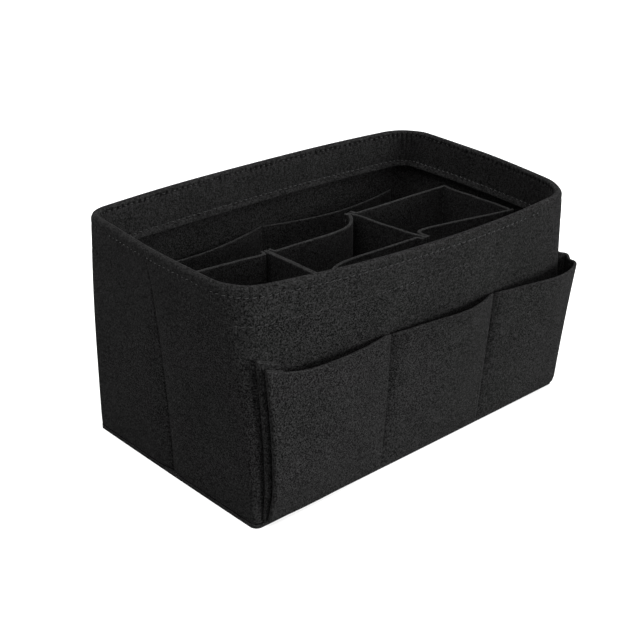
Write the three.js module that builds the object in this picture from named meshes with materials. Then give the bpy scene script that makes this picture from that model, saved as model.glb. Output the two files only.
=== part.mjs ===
import * as THREE from 'three';

// Felt organizer insert: millimetres, +Z up, X along the front, front towards -Y.
// The origin is the middle of the underside.

// Tub
const baseLength = 280;
const baseWidth = 168;
const tubHeight = 153;
const felt = 2.5;
const layGap = 0.3;
const threadDiameter = 0.7;
const baseCornerRadius = 5;
const baseBow = 0.4;
const baseShiftBackLeft = new THREE.Vector2(-0.6, -1.9);
const baseShiftFrontLeft = new THREE.Vector2(2.5, 0);
const baseShiftFrontRight = new THREE.Vector2(0, 4.8);

// How the soft rim relaxes: each side bows out and each top corner rounds and leans from the base corner.
const rimBowBack = 8;
const rimBowLeft = 3;
const rimBowFront = 15;
const rimBowRight = 6;
const rimRadiusBackRight = 27;
const rimRadiusBackLeft = 16;
const rimRadiusFrontLeft = 31;
const rimRadiusFrontRight = 38;
const rimLeanBackRight = new THREE.Vector2(6, -1);
const rimLeanBackLeft = new THREE.Vector2(4.6, 4.9);
const rimLeanFrontLeft = new THREE.Vector2(-4.5, 9);
const rimLeanFrontRight = new THREE.Vector2(-10, -10.8);
const bowPower = 1.5;
const cornerPower = 2.5;

// Rim facing and its two rows of stitching, measured down from the edge
const facingHeight = 27;
const upperRowDrop = 6;
const upperRowDropInside = 3;
const lowerRowDrop = 23;

// Side seams: the crease wanders from the middle of the end as it climbs
const leftSeamBaseY = -0.3;
const leftSeamTopY = 10;
const rightSeamBaseY = 0;
const rightSeamTopY = 4;
const creaseDepth = 1.8;
const creaseReach = 16;
const creaseFade = 2;

// Front pocket strip
const pocketFelt = 2;
const pocketBottom = 3.2;
const frontPocketTop = 101;
const stripLeftInset = 9;
const stripRightInset = 2.8;
const leftPocketWidth = 95;
const middlePocketWidth = 91;
const seamBow = 2;
const leftPocketSwell = 3;
const middlePocketSwell = 9;
const rightPocketSwell = 9;
const swellPower = 0.8;
const swellSkew = 1.5;
const foldWidth = 12;
const foldSlack = 0.5;
const foldPressed = 0.5;
const foldPressedHeight = 30;
const pleatOpen = 2.4;
const pleatOpenHeight = 40;
const foldTop = 108;
const pleatTop = 112;
const pleatInnerTop = 106;
const foldRiseReach = 36;
const gussetOpen = 13.7;
const gussetLean = 1.2;
const gussetTop = 105;
const gussetSeamShare = 0.45;
const gussetSwell = 3;

// Back pocket strip inside the tub
const backPocketDrop = 19;
const backPocketInset = 11;
const backSeamX = 4.5;
const backPocketSwell = 11;

// Lift-out divider: three cells made of long panels sewn to cross panels
const dividerTop = 123.5;
const dividerEndGap = 5.5;
const crossLeftFelt = 3.6;
const finReach = 5;
const finSeamShare = 0.7;
const crossLeftBack = new THREE.Vector2(-46, 12);
const crossLeftFront = new THREE.Vector2(-46, -46);
const crossRightBack = new THREE.Vector2(41, 28);
const crossRightFront = new THREE.Vector2(48, -31);
const dividerLeftBackY = 21;
const dividerLeftFrontY = -40;
const dividerRightBackY = 28;
const dividerRightFrontY = -38;
const cellLean = 15;
const cellTurn = 20;
const hookRise = 7;
const hookRun = 10;

// Fineness of the curved pieces
const cornerSteps = 6;
const longSideSteps = 14;
const endSideSteps = 5;
const wallLevels = 6;
const facingLevels = 3;
const pocketLevels = 8;
const pocketSteps = 12;
const panelSteps = 12;
const foldSteps = 4;

const backSide = 0;
const leftSide = 1;
const frontSide = 2;
const rightSide = 3;
const cornerCount = 4;

const feltBlack = new THREE.MeshStandardMaterial({ color: 0x232325, roughness: 0.96, metalness: 0 });
const dividerBlack = new THREE.MeshStandardMaterial({ color: 0x1f1f21, roughness: 0.96, metalness: 0 });
const threadBlack = new THREE.MeshStandardMaterial({ color: 0x303034, roughness: 0.6, metalness: 0 });

const threadRadius = threadDiameter / 2;
const seamHalf = threadRadius + layGap;
const wallBottom = felt + layGap;
const backPocketTop = tubHeight - facingHeight - backPocketDrop;
const lerp = THREE.MathUtils.lerp;
const flat = (x, y) => new THREE.Vector2(x, y);
const raise = (point, z) => new THREE.Vector3(point.x, point.y, z);
const spread = (from, to, steps) => Array.from({ length: steps + 1 }, (_, i) => lerp(from, to, i / steps));

// Angle of a point seen from a centre, from -90 to 270 degrees, so that it doesn't jump on the left side.
function angleFrom(centre, point) {
  const angle = Math.atan2(point.y - centre.y, point.x - centre.x);
  return angle < -Math.PI / 2 ? angle + 2 * Math.PI : angle;
}

// Closed solid through a row of rings. Points k and last-k of a ring face each other across the felt.
function loft(rings, closed = false) {
  const count = rings[0].length;
  const index = [];
  const quad = (a, b, c, d) => index.push(a, b, c, a, c, d);
  const spans = closed ? rings.length : rings.length - 1;
  for (let i = 0; i < spans; i += 1) {
    const here = i * count;
    const next = ((i + 1) % rings.length) * count;
    for (let k = 0; k < count; k += 1) {
      const turn = (k + 1) % count;
      quad(here + k, next + k, next + turn, here + turn);
    }
  }
  const end = (rings.length - 1) * count;
  for (let k = 0; !closed && k < count / 2 - 1; k += 1) {
    const far = count - 1 - k;
    quad(k, k + 1, far - 1, far);
    quad(end + far, end + far - 1, end + k + 1, end + k);
  }
  const points = rings.flat();
  const volume = (a, b, c) => points[a].dot(points[b].clone().cross(points[c]));
  let total = 0;
  for (let i = 0; i < index.length; i += 3) {
    total += volume(index[i], index[i + 1], index[i + 2]);
  }
  if (total < 0) {
    index.reverse();
  }
  const geometry = new THREE.BufferGeometry().setFromPoints(points);
  geometry.setIndex(index);
  geometry.computeVertexNormals();
  return geometry;
}

function piece(name, geometry, material) {
  const mesh = new THREE.Mesh(geometry, material);
  mesh.name = name;
  return mesh;
}

// Centre of the corner arc that touches two side arcs from inside, nearest the corner.
function cornerCentre(before, after, radius, corner) {
  const reachBefore = before.radius - radius;
  const reachAfter = after.radius - radius;
  const between = after.centre.clone().sub(before.centre);
  const apart = between.length();
  const along = (reachBefore ** 2 - reachAfter ** 2 + apart ** 2) / (2 * apart);
  const across = Math.sqrt(reachBefore ** 2 - along ** 2);
  between.normalize();
  const foot = before.centre.clone().addScaledVector(between, along);
  const normal = flat(-between.y, between.x);
  const found = [across, -across].map((step) => foot.clone().addScaledVector(normal, step));
  return found[0].distanceTo(corner) < found[1].distanceTo(corner) ? found[0] : found[1];
}

const baseBackLeft = flat(-baseLength / 2, baseWidth / 2).add(baseShiftBackLeft);
const baseFrontLeft = flat(-baseLength / 2, -baseWidth / 2).add(baseShiftFrontLeft);
const baseFrontRight = flat(baseLength / 2, -baseWidth / 2).add(baseShiftFrontRight);
const cornerSpecs = [
  { base: flat(baseLength / 2, baseWidth / 2), lean: rimLeanBackRight, radius: rimRadiusBackRight },
  { base: baseBackLeft, lean: rimLeanBackLeft, radius: rimRadiusBackLeft },
  { base: baseFrontLeft, lean: rimLeanFrontLeft, radius: rimRadiusFrontLeft },
  { base: baseFrontRight, lean: rimLeanFrontRight, radius: rimRadiusFrontRight },
];
const sideBows = [rimBowBack, rimBowLeft, rimBowFront, rimBowRight];

// Outer plan of the tub at height z: four bowed side arcs joined by tangent corner arcs.
function planAt(z) {
  const rise = z / tubHeight;
  const settle = rise ** cornerPower;
  const corners = cornerSpecs.map((spec) => spec.base.clone().addScaledVector(spec.lean, settle));
  const sides = corners.map((start, i) => {
    const end = corners[(i + 1) % cornerCount];
    const bow = baseBow + sideBows[i] * rise ** bowPower;
    const half = start.distanceTo(end) / 2;
    const radius = (half ** 2 + bow ** 2) / (2 * bow);
    const along = end.clone().sub(start).normalize();
    const middle = start.clone().lerp(end, 0.5);
    const centre = middle.addScaledVector(flat(along.y, -along.x), bow - radius);
    return { centre, radius };
  });
  const rounds = corners.map((corner, i) => {
    const before = sides[(i + cornerCount - 1) % cornerCount];
    const radius = lerp(baseCornerRadius, cornerSpecs[i].radius, settle);
    const centre = cornerCentre(before, sides[i], radius, corner);
    return { centre, radius };
  });
  return { sides, rounds };
}

// First and last angle of a side arc and of a corner arc, turning to the left.
function sideSweep(plan, side) {
  const { centre } = plan.sides[side];
  const start = angleFrom(centre, plan.rounds[side].centre);
  const end = angleFrom(centre, plan.rounds[(side + 1) % cornerCount].centre);
  return [start, end < start ? end + 2 * Math.PI : end];
}

function cornerSweep(plan, corner) {
  const { centre } = plan.rounds[corner];
  const before = plan.sides[(corner + cornerCount - 1) % cornerCount];
  const start = angleFrom(before.centre, centre);
  const end = angleFrom(plan.sides[corner].centre, centre);
  return [start, end < start ? end + 2 * Math.PI : end];
}

// A place on the plan keeps its arc, so that the felt's layers are set in from it along the normal.
function at(place, inset) {
  const reach = place.arc.radius - inset - (place.dip ?? 0);
  const { centre } = place.arc;
  return flat(centre.x + reach * Math.cos(place.angle), centre.y + reach * Math.sin(place.angle));
}

const places = (arc, angles) => angles.map((angle) => ({ arc, angle }));

function cornerPlaces(plan, corner) {
  const [start, end] = cornerSweep(plan, corner);
  return places(plan.rounds[corner], spread(start, end, cornerSteps));
}

function longPlaces(plan, side) {
  const [start, end] = sideSweep(plan, side);
  return places(plan.sides[side], spread(start, end, longSideSteps)).slice(1, -1);
}

// The crease at a side seam fades out towards the rim.
const creaseAt = (z) => creaseDepth * (1 - (z / tubHeight) ** creaseFade);

// Places on an end between its side seam and a corner, closer together and pressed in towards the seam.
function seamPlaces(arc, seamAngle, cornerAngle, z) {
  return spread(0, 1, endSideSteps).slice(0, -1).map((share) => {
    const angle = lerp(seamAngle, cornerAngle, share ** 2);
    const away = Math.abs(angle - seamAngle) * arc.radius;
    const dip = creaseAt(z) * Math.max(0, 1 - away / creaseReach) ** 2;
    return { arc, angle, dip };
  });
}

function leftSeamAngle(plan, z, step) {
  const { centre, radius } = plan.sides[leftSide];
  const y = lerp(leftSeamBaseY, leftSeamTopY, (z / tubHeight) ** bowPower) + step;
  return Math.PI - Math.asin((y - centre.y) / radius);
}

function rightSeamAngle(plan, z, step) {
  const { centre, radius } = plan.sides[rightSide];
  const y = lerp(rightSeamBaseY, rightSeamTopY, (z / tubHeight) ** bowPower) + step;
  return Math.asin((y - centre.y) / radius);
}

function frontHalf(z) {
  const plan = planAt(z);
  const leftAngle = leftSeamAngle(plan, z, -seamHalf);
  const rightAngle = rightSeamAngle(plan, z, -seamHalf);
  const leftRun = seamPlaces(plan.sides[leftSide], leftAngle, sideSweep(plan, leftSide)[1], z);
  const rightEnd = sideSweep(plan, rightSide)[0];
  const rightRun = seamPlaces(plan.sides[rightSide], rightAngle, rightEnd, z).reverse();
  const longRun = longPlaces(plan, frontSide);
  return [leftRun, cornerPlaces(plan, frontSide), longRun, cornerPlaces(plan, rightSide), rightRun].flat();
}

function backHalf(z) {
  const plan = planAt(z);
  const leftAngle = leftSeamAngle(plan, z, seamHalf);
  const rightAngle = rightSeamAngle(plan, z, seamHalf);
  const rightRun = seamPlaces(plan.sides[rightSide], rightAngle, sideSweep(plan, rightSide)[1], z);
  const leftEnd = sideSweep(plan, leftSide)[0];
  const leftRun = seamPlaces(plan.sides[leftSide], leftAngle, leftEnd, z).reverse();
  const longRun = longPlaces(plan, backSide);
  return [rightRun, cornerPlaces(plan, backSide), longRun, cornerPlaces(plan, leftSide), leftRun].flat();
}

const wholeLoop = (z) => [...frontHalf(z), ...backHalf(z)];

// Felt standing on a run of the plan, between two insets and through a list of heights.
function standingFelt(run, heights, outerInset, innerInset, closed) {
  const rows = heights.map((z) => run(z));
  const rings = rows[0].map((_, i) => {
    const outer = heights.map((z, k) => raise(at(rows[k][i], outerInset), z));
    const inner = heights.map((z, k) => raise(at(rows[k][i], innerInset), z));
    return [...outer, ...inner.reverse()];
  });
  return loft(rings, closed);
}

// Thread lying along the plan at one height.
function rowThread(z, inset) {
  const rings = wholeLoop(z).map((place) => [
    raise(at(place, inset - threadRadius), z),
    raise(at(place, inset), z + threadRadius),
    raise(at(place, inset + threadRadius), z),
    raise(at(place, inset), z - threadRadius),
  ]);
  return loft(rings, true);
}

// Thread climbing through a list of points, a square strand on its edge.
function climbingThread(points) {
  const rings = points.map(({ x, y, z }) => [
    new THREE.Vector3(x - threadRadius, y, z),
    new THREE.Vector3(x, y - threadRadius, z),
    new THREE.Vector3(x + threadRadius, y, z),
    new THREE.Vector3(x, y + threadRadius, z),
  ]);
  return loft(rings);
}

function makeTub() {
  const tub = new THREE.Group();
  const facingBottom = tubHeight - facingHeight;
  const facingHeights = spread(facingBottom, tubHeight, facingLevels - 1);
  const wallHeights = [...spread(wallBottom, facingBottom, wallLevels - 1).slice(0, -1), ...facingHeights];
  const facingInset = felt + layGap;
  const facingFace = facingInset + felt;
  tub.add(piece('wall_front', standingFelt(frontHalf, wallHeights, 0, felt, false), feltBlack));
  tub.add(piece('wall_back', standingFelt(backHalf, wallHeights, 0, felt, false), feltBlack));
  const facing = standingFelt(wholeLoop, facingHeights, facingInset, facingFace, true);
  tub.add(piece('rim_facing', facing, feltBlack));

  const baseOutline = new THREE.Shape(wholeLoop(0).map((place) => at({ ...place, dip: 0 }, 0)));
  const base = new THREE.ExtrudeGeometry(baseOutline, { depth: felt, bevelEnabled: false });
  tub.add(piece('base_panel', base, feltBlack));

  const outerInset = -layGap - threadRadius;
  const innerInset = facingFace + layGap + threadRadius;
  const upperRow = tubHeight - upperRowDrop;
  const upperRowInside = tubHeight - upperRowDropInside;
  const lowerRow = tubHeight - lowerRowDrop;
  tub.add(piece('rim_thread_upper_outer', rowThread(upperRow, outerInset), threadBlack));
  tub.add(piece('rim_thread_upper_inner', rowThread(upperRowInside, innerInset), threadBlack));
  tub.add(piece('rim_thread_lower_outer', rowThread(lowerRow, outerInset), threadBlack));
  tub.add(piece('rim_thread_lower_inner', rowThread(lowerRow, innerInset), threadBlack));

  const leftSeam = wallHeights.map((z) => {
    const plan = planAt(z);
    const place = { arc: plan.sides[leftSide], angle: leftSeamAngle(plan, z, 0), dip: creaseAt(z) };
    return raise(at(place, felt / 2), z);
  });
  const rightSeam = wallHeights.map((z) => {
    const plan = planAt(z);
    const place = { arc: plan.sides[rightSide], angle: rightSeamAngle(plan, z, 0), dip: creaseAt(z) };
    return raise(at(place, felt / 2), z);
  });
  tub.add(piece('side_seam_thread_left', climbingThread(leftSeam), threadBlack));
  tub.add(piece('side_seam_thread_right', climbingThread(rightSeam), threadBlack));
  return tub;
}

// Point of a long side at x, set in from the outer face; a corner arc takes over past its end.
function sidePoint(side, x, z, inset) {
  const plan = planAt(z);
  const arcs = [plan.sides[side], plan.rounds[side], plan.rounds[(side + 1) % cornerCount]];
  const [start, end] = sideSweep(plan, side);
  const ends = [start, end].map((angle) => at({ arc: arcs[0], angle }, 0).x);
  const pastStart = side === frontSide ? x < ends[0] : x > ends[0];
  const pastEnd = side === frontSide ? x > ends[1] : x < ends[1];
  const inCorner = pastEnd ? arcs[2] : arcs[1];
  const arc = pastStart || pastEnd ? inCorner : arcs[0];
  const angle = Math.acos((x - arc.centre.x) / arc.radius);
  return at({ arc, angle: side === frontSide ? -angle : angle }, inset);
}

const frontPoint = (x, z, out) => sidePoint(frontSide, x, z, -out);
const backPoint = (x, z, inset) => sidePoint(backSide, x, z, inset);

// Plan of a pocket's exposed face: a line between its two edges that swells towards the mouth
// and stands off the wall at its first edge.
function pocketPlan(pocket, share, z, depth) {
  const start = pocket.start(z);
  const along = pocket.end(z).sub(start);
  const outward = flat(along.y, -along.x).normalize();
  const mouth = (z / pocket.top) ** swellPower;
  const swell = pocket.swell * mouth * Math.sin(Math.PI * share ** pocket.skew);
  const stand = pocket.stand(z) * (1 - share ** 2);
  return start.addScaledVector(along, share).addScaledVector(outward, swell + stand - depth);
}

// A pocket's top edge can climb towards its first edge, and all its levels climb with it.
function pocketPoint(pocket, share, z, depth) {
  const height = z * (1 + pocket.climb(share));
  return raise(pocketPlan(pocket, share, height, depth), height);
}

// Felt that runs up through rings, given as its exposed face and the face behind it.
function risingFelt(bottom, top, faceAt) {
  const rings = spread(bottom, top, pocketLevels - 1).map((z) => {
    const { face, behind } = faceAt(z);
    return [...face, ...behind.reverse()];
  });
  return loft(rings);
}

function pocketPanel(pocket) {
  const shares = spread(0, 1, pocketSteps);
  return risingFelt(pocket.bottom, pocket.top, (z) => {
    const face = shares.map((share) => pocketPoint(pocket, share, z, 0));
    const behind = shares.map((share) => pocketPoint(pocket, share, z, pocketFelt));
    return { face, behind };
  });
}

// Layers of the pleat at the strip's left end are pressed together towards the bottom seam.
function pressed(z) {
  const share = THREE.MathUtils.smoothstep(z, 0, foldPressedHeight);
  return lerp(foldPressed, 1, share);
}

// Above the pressed part, the pleat's two folds stand apart.
const parted = (z) => pleatOpen * THREE.MathUtils.smoothstep(z, 0, pleatOpenHeight);

const stripLeft = -baseLength / 2 + stripLeftInset;
const stripRight = baseLength / 2 - stripRightInset;
const frontSeamLeft = stripLeft + leftPocketWidth;
const frontSeamRight = frontSeamLeft + middlePocketWidth;
const sewnDepth = layGap + pocketFelt;
const layerPitch = pocketFelt + foldSlack;
const pleatDepth = 3 * layerPitch + pocketFelt;
const level = { stand: () => 0, climb: () => 0, skew: 1 };
const inFront = { ...level, bottom: pocketBottom, top: frontPocketTop, skew: swellSkew };

// The strip's top edge climbs to the pleat's outer fold, by this share of its height.
function foldClimb(share) {
  const near = Math.max(0, 1 - (share * leftPocketWidth) / foldRiseReach);
  return (foldTop / frontPocketTop - 1) * near ** 2;
}

// Outer edge of the opened gusset at the strip's right end.
function gussetEdge(z) {
  const rise = z / frontPocketTop;
  const y = baseFrontRight.y - baseBow - sewnDepth - gussetOpen * rise;
  return flat(stripRight - gussetLean * rise, y);
}

// A sewn valley of the strip bends a little to the right half way up.
function valleyPoint(x, z, out) {
  return frontPoint(x + seamBow * Math.sin((Math.PI * z) / frontPocketTop), z, out);
}

const frontPockets = {
  left: {
    ...inFront,
    start: (z) => frontPoint(stripLeft, z, sewnDepth),
    end: (z) => valleyPoint(frontSeamLeft - seamHalf, z, sewnDepth),
    stand: (z) => layGap + pleatDepth * pressed(z) + parted(z) - sewnDepth,
    climb: foldClimb,
    swell: leftPocketSwell,
  },
  middle: {
    ...inFront,
    start: (z) => valleyPoint(frontSeamLeft + seamHalf, z, sewnDepth),
    end: (z) => valleyPoint(frontSeamRight - seamHalf, z, sewnDepth),
    swell: middlePocketSwell,
  },
  right: {
    ...inFront,
    start: (z) => valleyPoint(frontSeamRight + seamHalf, z, sewnDepth),
    end: (z) => gussetEdge(z),
    swell: rightPocketSwell,
  },
};

// The left pocket's panel turns back under itself at its left edge as the outer fold of the pleat.
function pleatedPanel(pocket) {
  const shares = spread(0, 1, pocketSteps);
  return risingFelt(pocket.bottom, pocket.top, (z) => {
    const press = pressed(z);
    const thick = pocketFelt * press;
    const under = layerPitch * press;
    const foldShare = foldWidth / leftPocketWidth;
    const hemShare = thick / leftPocketWidth;
    const point = (share, depth) => pocketPoint(pocket, share, z, depth);
    const outer = shares.map((share) => point(share, 0));
    const inner = shares.map((share) => point(Math.max(share, hemShare), thick));
    const face = [point(foldShare, under + thick), point(0, under + thick), ...outer];
    return { face, behind: [point(foldShare, under), point(hemShare, under), ...inner] };
  });
}

// The pleat's inner fold lies on the wall, closed and highest at the left end of the strip.
function pleatFold() {
  const fall = 1 - pleatInnerTop / pleatTop;
  return risingFelt(pocketBottom, pleatTop, (z) => {
    const press = pressed(z);
    const out = spread(stripLeft + foldWidth, stripLeft, foldSteps);
    const inside = spread(stripLeft + foldWidth, stripLeft + pocketFelt, foldSteps);
    const point = (x, depth) => {
      const height = z * (1 - (fall * (x - stripLeft)) / foldWidth);
      return raise(frontPoint(x, height, layGap + depth * press), height);
    };
    const run = (xs, depth) => xs.map((x) => point(x, depth));
    const face = [...run(out, 0), ...run(out, layerPitch + pocketFelt).reverse()];
    const behind = [...run(inside, pocketFelt), ...run(inside, layerPitch).reverse()];
    return { face, behind };
  });
}

// The gusset runs from the wall's corner, where it is higher, out to the back of the right pocket's edge.
function openGusset() {
  const pocket = frontPockets.right;
  const shares = spread(0, 1, panelSteps / 2);
  return risingFelt(pocketBottom, frontPocketTop, (z) => {
    const rootHeight = (z * gussetTop) / frontPocketTop;
    const plan = planAt(rootHeight);
    const arc = plan.rounds[rightSide];
    const [start, end] = cornerSweep(plan, rightSide);
    const seamAngle = lerp(start, end, gussetSeamShare);
    const tuck = pocketFelt / pocket.end(z).distanceTo(pocket.start(z));
    const line = (angle, tipShare) => {
      const root = at({ arc, angle }, -layGap);
      const along = pocketPlan(pocket, tipShare, z, sewnDepth).sub(root);
      const across = flat(-along.y, along.x).normalize();
      const swell = gussetSwell * (z / frontPocketTop);
      return shares.map((share) => {
        const point = root.clone().addScaledVector(along, share);
        const height = lerp(rootHeight, z, share);
        return raise(point.addScaledVector(across, swell * Math.sin(Math.PI * share)), height);
      });
    };
    return { face: line(seamAngle + pocketFelt / arc.radius, 1), behind: line(seamAngle, 1 - tuck) };
  });
}

const seamStrand = (heights, pointAt) => climbingThread(heights.map((z) => raise(pointAt(z), z)));

function makeFrontPockets() {
  const pockets = new THREE.Group();
  const heights = spread(pocketBottom, frontPocketTop, wallLevels - 1);
  const strandOut = layGap + threadRadius;
  const leftStrand = seamStrand(heights, (z) => valleyPoint(frontSeamLeft, z, strandOut));
  const rightStrand = seamStrand(heights, (z) => valleyPoint(frontSeamRight, z, strandOut));
  pockets.add(piece('front_pocket_left', pleatedPanel(frontPockets.left), feltBlack));
  pockets.add(piece('front_pocket_middle', pocketPanel(frontPockets.middle), feltBlack));
  pockets.add(piece('front_pocket_right', pocketPanel(frontPockets.right), feltBlack));
  pockets.add(piece('front_pleat', pleatFold(), feltBlack));
  pockets.add(piece('front_gusset', openGusset(), feltBlack));
  pockets.add(piece('front_seam_thread_left', leftStrand, threadBlack));
  pockets.add(piece('front_seam_thread_right', rightStrand, threadBlack));
  return pockets;
}

function makeBackPockets() {
  const pockets = new THREE.Group();
  const reach = baseLength / 2 - backPocketInset;
  const sewnInset = felt + sewnDepth;
  const edgeAt = (x) => (z) => backPoint(x, z, sewnInset);
  const span = { ...level, bottom: wallBottom, top: backPocketTop, swell: backPocketSwell };
  const left = { ...span, start: edgeAt(-reach), end: edgeAt(backSeamX - seamHalf) };
  const right = { ...span, start: edgeAt(backSeamX + seamHalf), end: edgeAt(reach) };
  const heights = spread(wallBottom, backPocketTop, wallLevels - 1);
  const strand = seamStrand(heights, (z) => backPoint(backSeamX, z, felt + layGap + threadRadius));
  pockets.add(piece('back_pocket_left', pocketPanel(left), feltBlack));
  pockets.add(piece('back_pocket_right', pocketPanel(right), feltBlack));
  pockets.add(piece('back_seam_thread', strand, threadBlack));
  return pockets;
}

// Felt strip standing on a plan path, mitred where the path turns.
function standingStrip(path, thickness) {
  const half = thickness / 2;
  const rings = path.map((point, i) => {
    const before = point.clone().sub(path[Math.max(i - 1, 0)]);
    const after = path[Math.min(i + 1, path.length - 1)].clone().sub(point);
    const first = before.lengthSq() > 0 ? before.normalize() : after.clone().normalize();
    const second = after.lengthSq() > 0 ? after.normalize() : first;
    const normal = flat(-first.y - second.y, first.x + second.x);
    const miter = normal.multiplyScalar(half / (1 + first.dot(second)));
    const [left, right] = [point.clone().add(miter), point.clone().sub(miter)];
    const up = [left, right].map((edge) => raise(edge, dividerTop));
    return [raise(left, wallBottom), ...up, raise(right, wallBottom)];
  });
  return loft(rings);
}

// One cross panel, and the feet and fin tips where the long panels are sewn to it at either end.
function crossPanel(back, front, thickness) {
  const axis = back.clone().sub(front).normalize();
  const sideways = flat(axis.y, -axis.x);
  const footStep = thickness / 2 + layGap + felt / 2;
  const joint = (point, outward) => (side) => {
    const foot = point.clone().addScaledVector(sideways, side * footStep);
    const tip = foot.clone().addScaledVector(outward, finReach);
    const strandStep = side * (felt / 2 + layGap + threadRadius);
    const strand = foot.clone().lerp(tip, finSeamShare).addScaledVector(sideways, strandStep);
    return { foot, tip, strand };
  };
  const forward = axis.clone().negate();
  const tip = (point, outward) => point.clone().addScaledVector(outward, finReach);
  const path = [tip(front, forward), tip(back, axis)];
  return { path, thickness, back: joint(back, axis), front: joint(front, forward) };
}

const smooth = (points) => new THREE.SplineCurve(points).getPoints(panelSteps);

// Height in plan of a long panel's inner face at x, from the last two points of its path.
function innerFaceY(path, x, side) {
  const [end, next] = path;
  const slope = (next.y - end.y) / (next.x - end.x);
  return end.y + slope * (x - end.x) + side * (felt / 2) * Math.hypot(1, slope);
}

function makeDivider() {
  const divider = new THREE.Group();
  const left = -1;
  const right = 1;
  const reach = baseLength / 2 - felt - dividerEndGap;
  const crossLeft = crossPanel(crossLeftBack, crossLeftFront, crossLeftFelt);
  const crossRight = crossPanel(crossRightBack, crossRightFront, felt);
  const add = (name, geometry, material = dividerBlack) => divider.add(piece(name, geometry, material));
  const strip = (name, path) => add(name, standingStrip(path, felt));

  // The outer cells: a straight back panel and a front panel that hooks in before it sweeps out.
  const outerCell = (name, cross, side, backY, frontY) => {
    const back = cross.back(side);
    const front = cross.front(side);
    const hook = front.foot.clone().add(flat(side * hookRun, hookRise));
    const backPath = [flat(side * reach, backY), back.foot, back.tip];
    const sweep = smooth([flat(side * reach, frontY), hook, front.foot]);
    const frontPath = [...sweep, front.tip];
    strip(`divider_back_${name}`, backPath);
    strip(`divider_front_${name}`, frontPath);
    return { name, side, backPath, frontPath };
  };
  const ends = [
    outerCell('left', crossLeft, left, dividerLeftBackY, dividerLeftFrontY),
    outerCell('right', crossRight, right, dividerRightBackY, dividerRightFrontY),
  ];

  // The middle cell leans: each long panel runs straight, then turns towards its outer seam.
  const backStart = crossLeft.back(right);
  const backEnd = crossRight.back(left);
  const backBend = flat(backEnd.foot.x - cellTurn, backEnd.foot.y - cellLean);
  const backSweep = smooth([backStart.foot, backBend, backEnd.foot]);
  strip('divider_back_middle', [backStart.tip, ...backSweep, backEnd.tip]);
  const frontStart = crossLeft.front(right);
  const frontEnd = crossRight.front(left);
  const frontBend = flat(frontStart.foot.x + cellTurn, frontStart.foot.y + cellLean);
  const frontSweep = smooth([frontStart.foot, frontBend, frontEnd.foot]);
  strip('divider_front_middle', [frontStart.tip, ...frontSweep, frontEnd.tip]);

  add('divider_cross_left', standingStrip(crossLeft.path, crossLeft.thickness));
  add('divider_cross_right', standingStrip(crossRight.path, crossRight.thickness));

  // End panels stand between the long panels, with a corner thread in each nook.
  const upright = (point) => climbingThread([raise(point, wallBottom), raise(point, dividerTop)]);
  const nook = layGap + threadRadius;
  for (const { name, side, backPath, frontPath } of ends) {
    const outerX = side * reach;
    const innerX = side * (reach - felt);
    const nookX = innerX - side * nook;
    const backY = Math.min(innerFaceY(backPath, outerX, -1), innerFaceY(backPath, innerX, -1)) - layGap;
    const frontY = Math.max(innerFaceY(frontPath, outerX, 1), innerFaceY(frontPath, innerX, 1)) + layGap;
    const middleX = (outerX + innerX) / 2;
    strip(`divider_end_${name}`, [flat(middleX, frontY), flat(middleX, backY)]);
    const backNook = flat(nookX, innerFaceY(backPath, nookX, -1) - nook);
    const frontNook = flat(nookX, innerFaceY(frontPath, nookX, 1) + nook);
    add(`divider_corner_thread_back_${name}`, upright(backNook), threadBlack);
    add(`divider_corner_thread_front_${name}`, upright(frontNook), threadBlack);
  }
  const seams = { left: crossLeft, right: crossRight };
  for (const [name, cross] of Object.entries(seams)) {
    add(`divider_seam_thread_back_${name}`, upright(cross.back(left).strand), threadBlack);
    add(`divider_seam_thread_front_${name}`, upright(cross.front(right).strand), threadBlack);
  }
  return divider;
}

const organizer = new THREE.Group();
organizer.add(makeTub());
organizer.add(makeFrontPockets());
organizer.add(makeBackPockets());
organizer.add(makeDivider());

export default organizer;
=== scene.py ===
import math

import bpy
import numpy as np
from mathutils import Matrix, Vector


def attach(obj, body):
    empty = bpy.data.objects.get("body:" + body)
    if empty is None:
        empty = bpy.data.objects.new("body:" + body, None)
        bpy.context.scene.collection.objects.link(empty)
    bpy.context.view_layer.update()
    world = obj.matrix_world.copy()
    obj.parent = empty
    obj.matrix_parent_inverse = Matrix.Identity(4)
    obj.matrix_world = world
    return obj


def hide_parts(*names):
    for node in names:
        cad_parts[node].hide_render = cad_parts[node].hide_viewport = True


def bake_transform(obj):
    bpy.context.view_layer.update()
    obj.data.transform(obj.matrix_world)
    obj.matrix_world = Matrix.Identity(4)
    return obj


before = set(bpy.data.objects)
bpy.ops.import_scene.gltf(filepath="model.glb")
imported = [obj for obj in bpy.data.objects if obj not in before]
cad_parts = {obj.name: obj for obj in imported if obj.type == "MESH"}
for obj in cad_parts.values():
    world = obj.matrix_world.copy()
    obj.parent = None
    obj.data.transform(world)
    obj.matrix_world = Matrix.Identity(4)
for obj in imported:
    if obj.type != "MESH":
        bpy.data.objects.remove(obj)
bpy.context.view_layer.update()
print("frame loaded:", len(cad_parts), "nodes")

mm = 0.001


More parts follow.
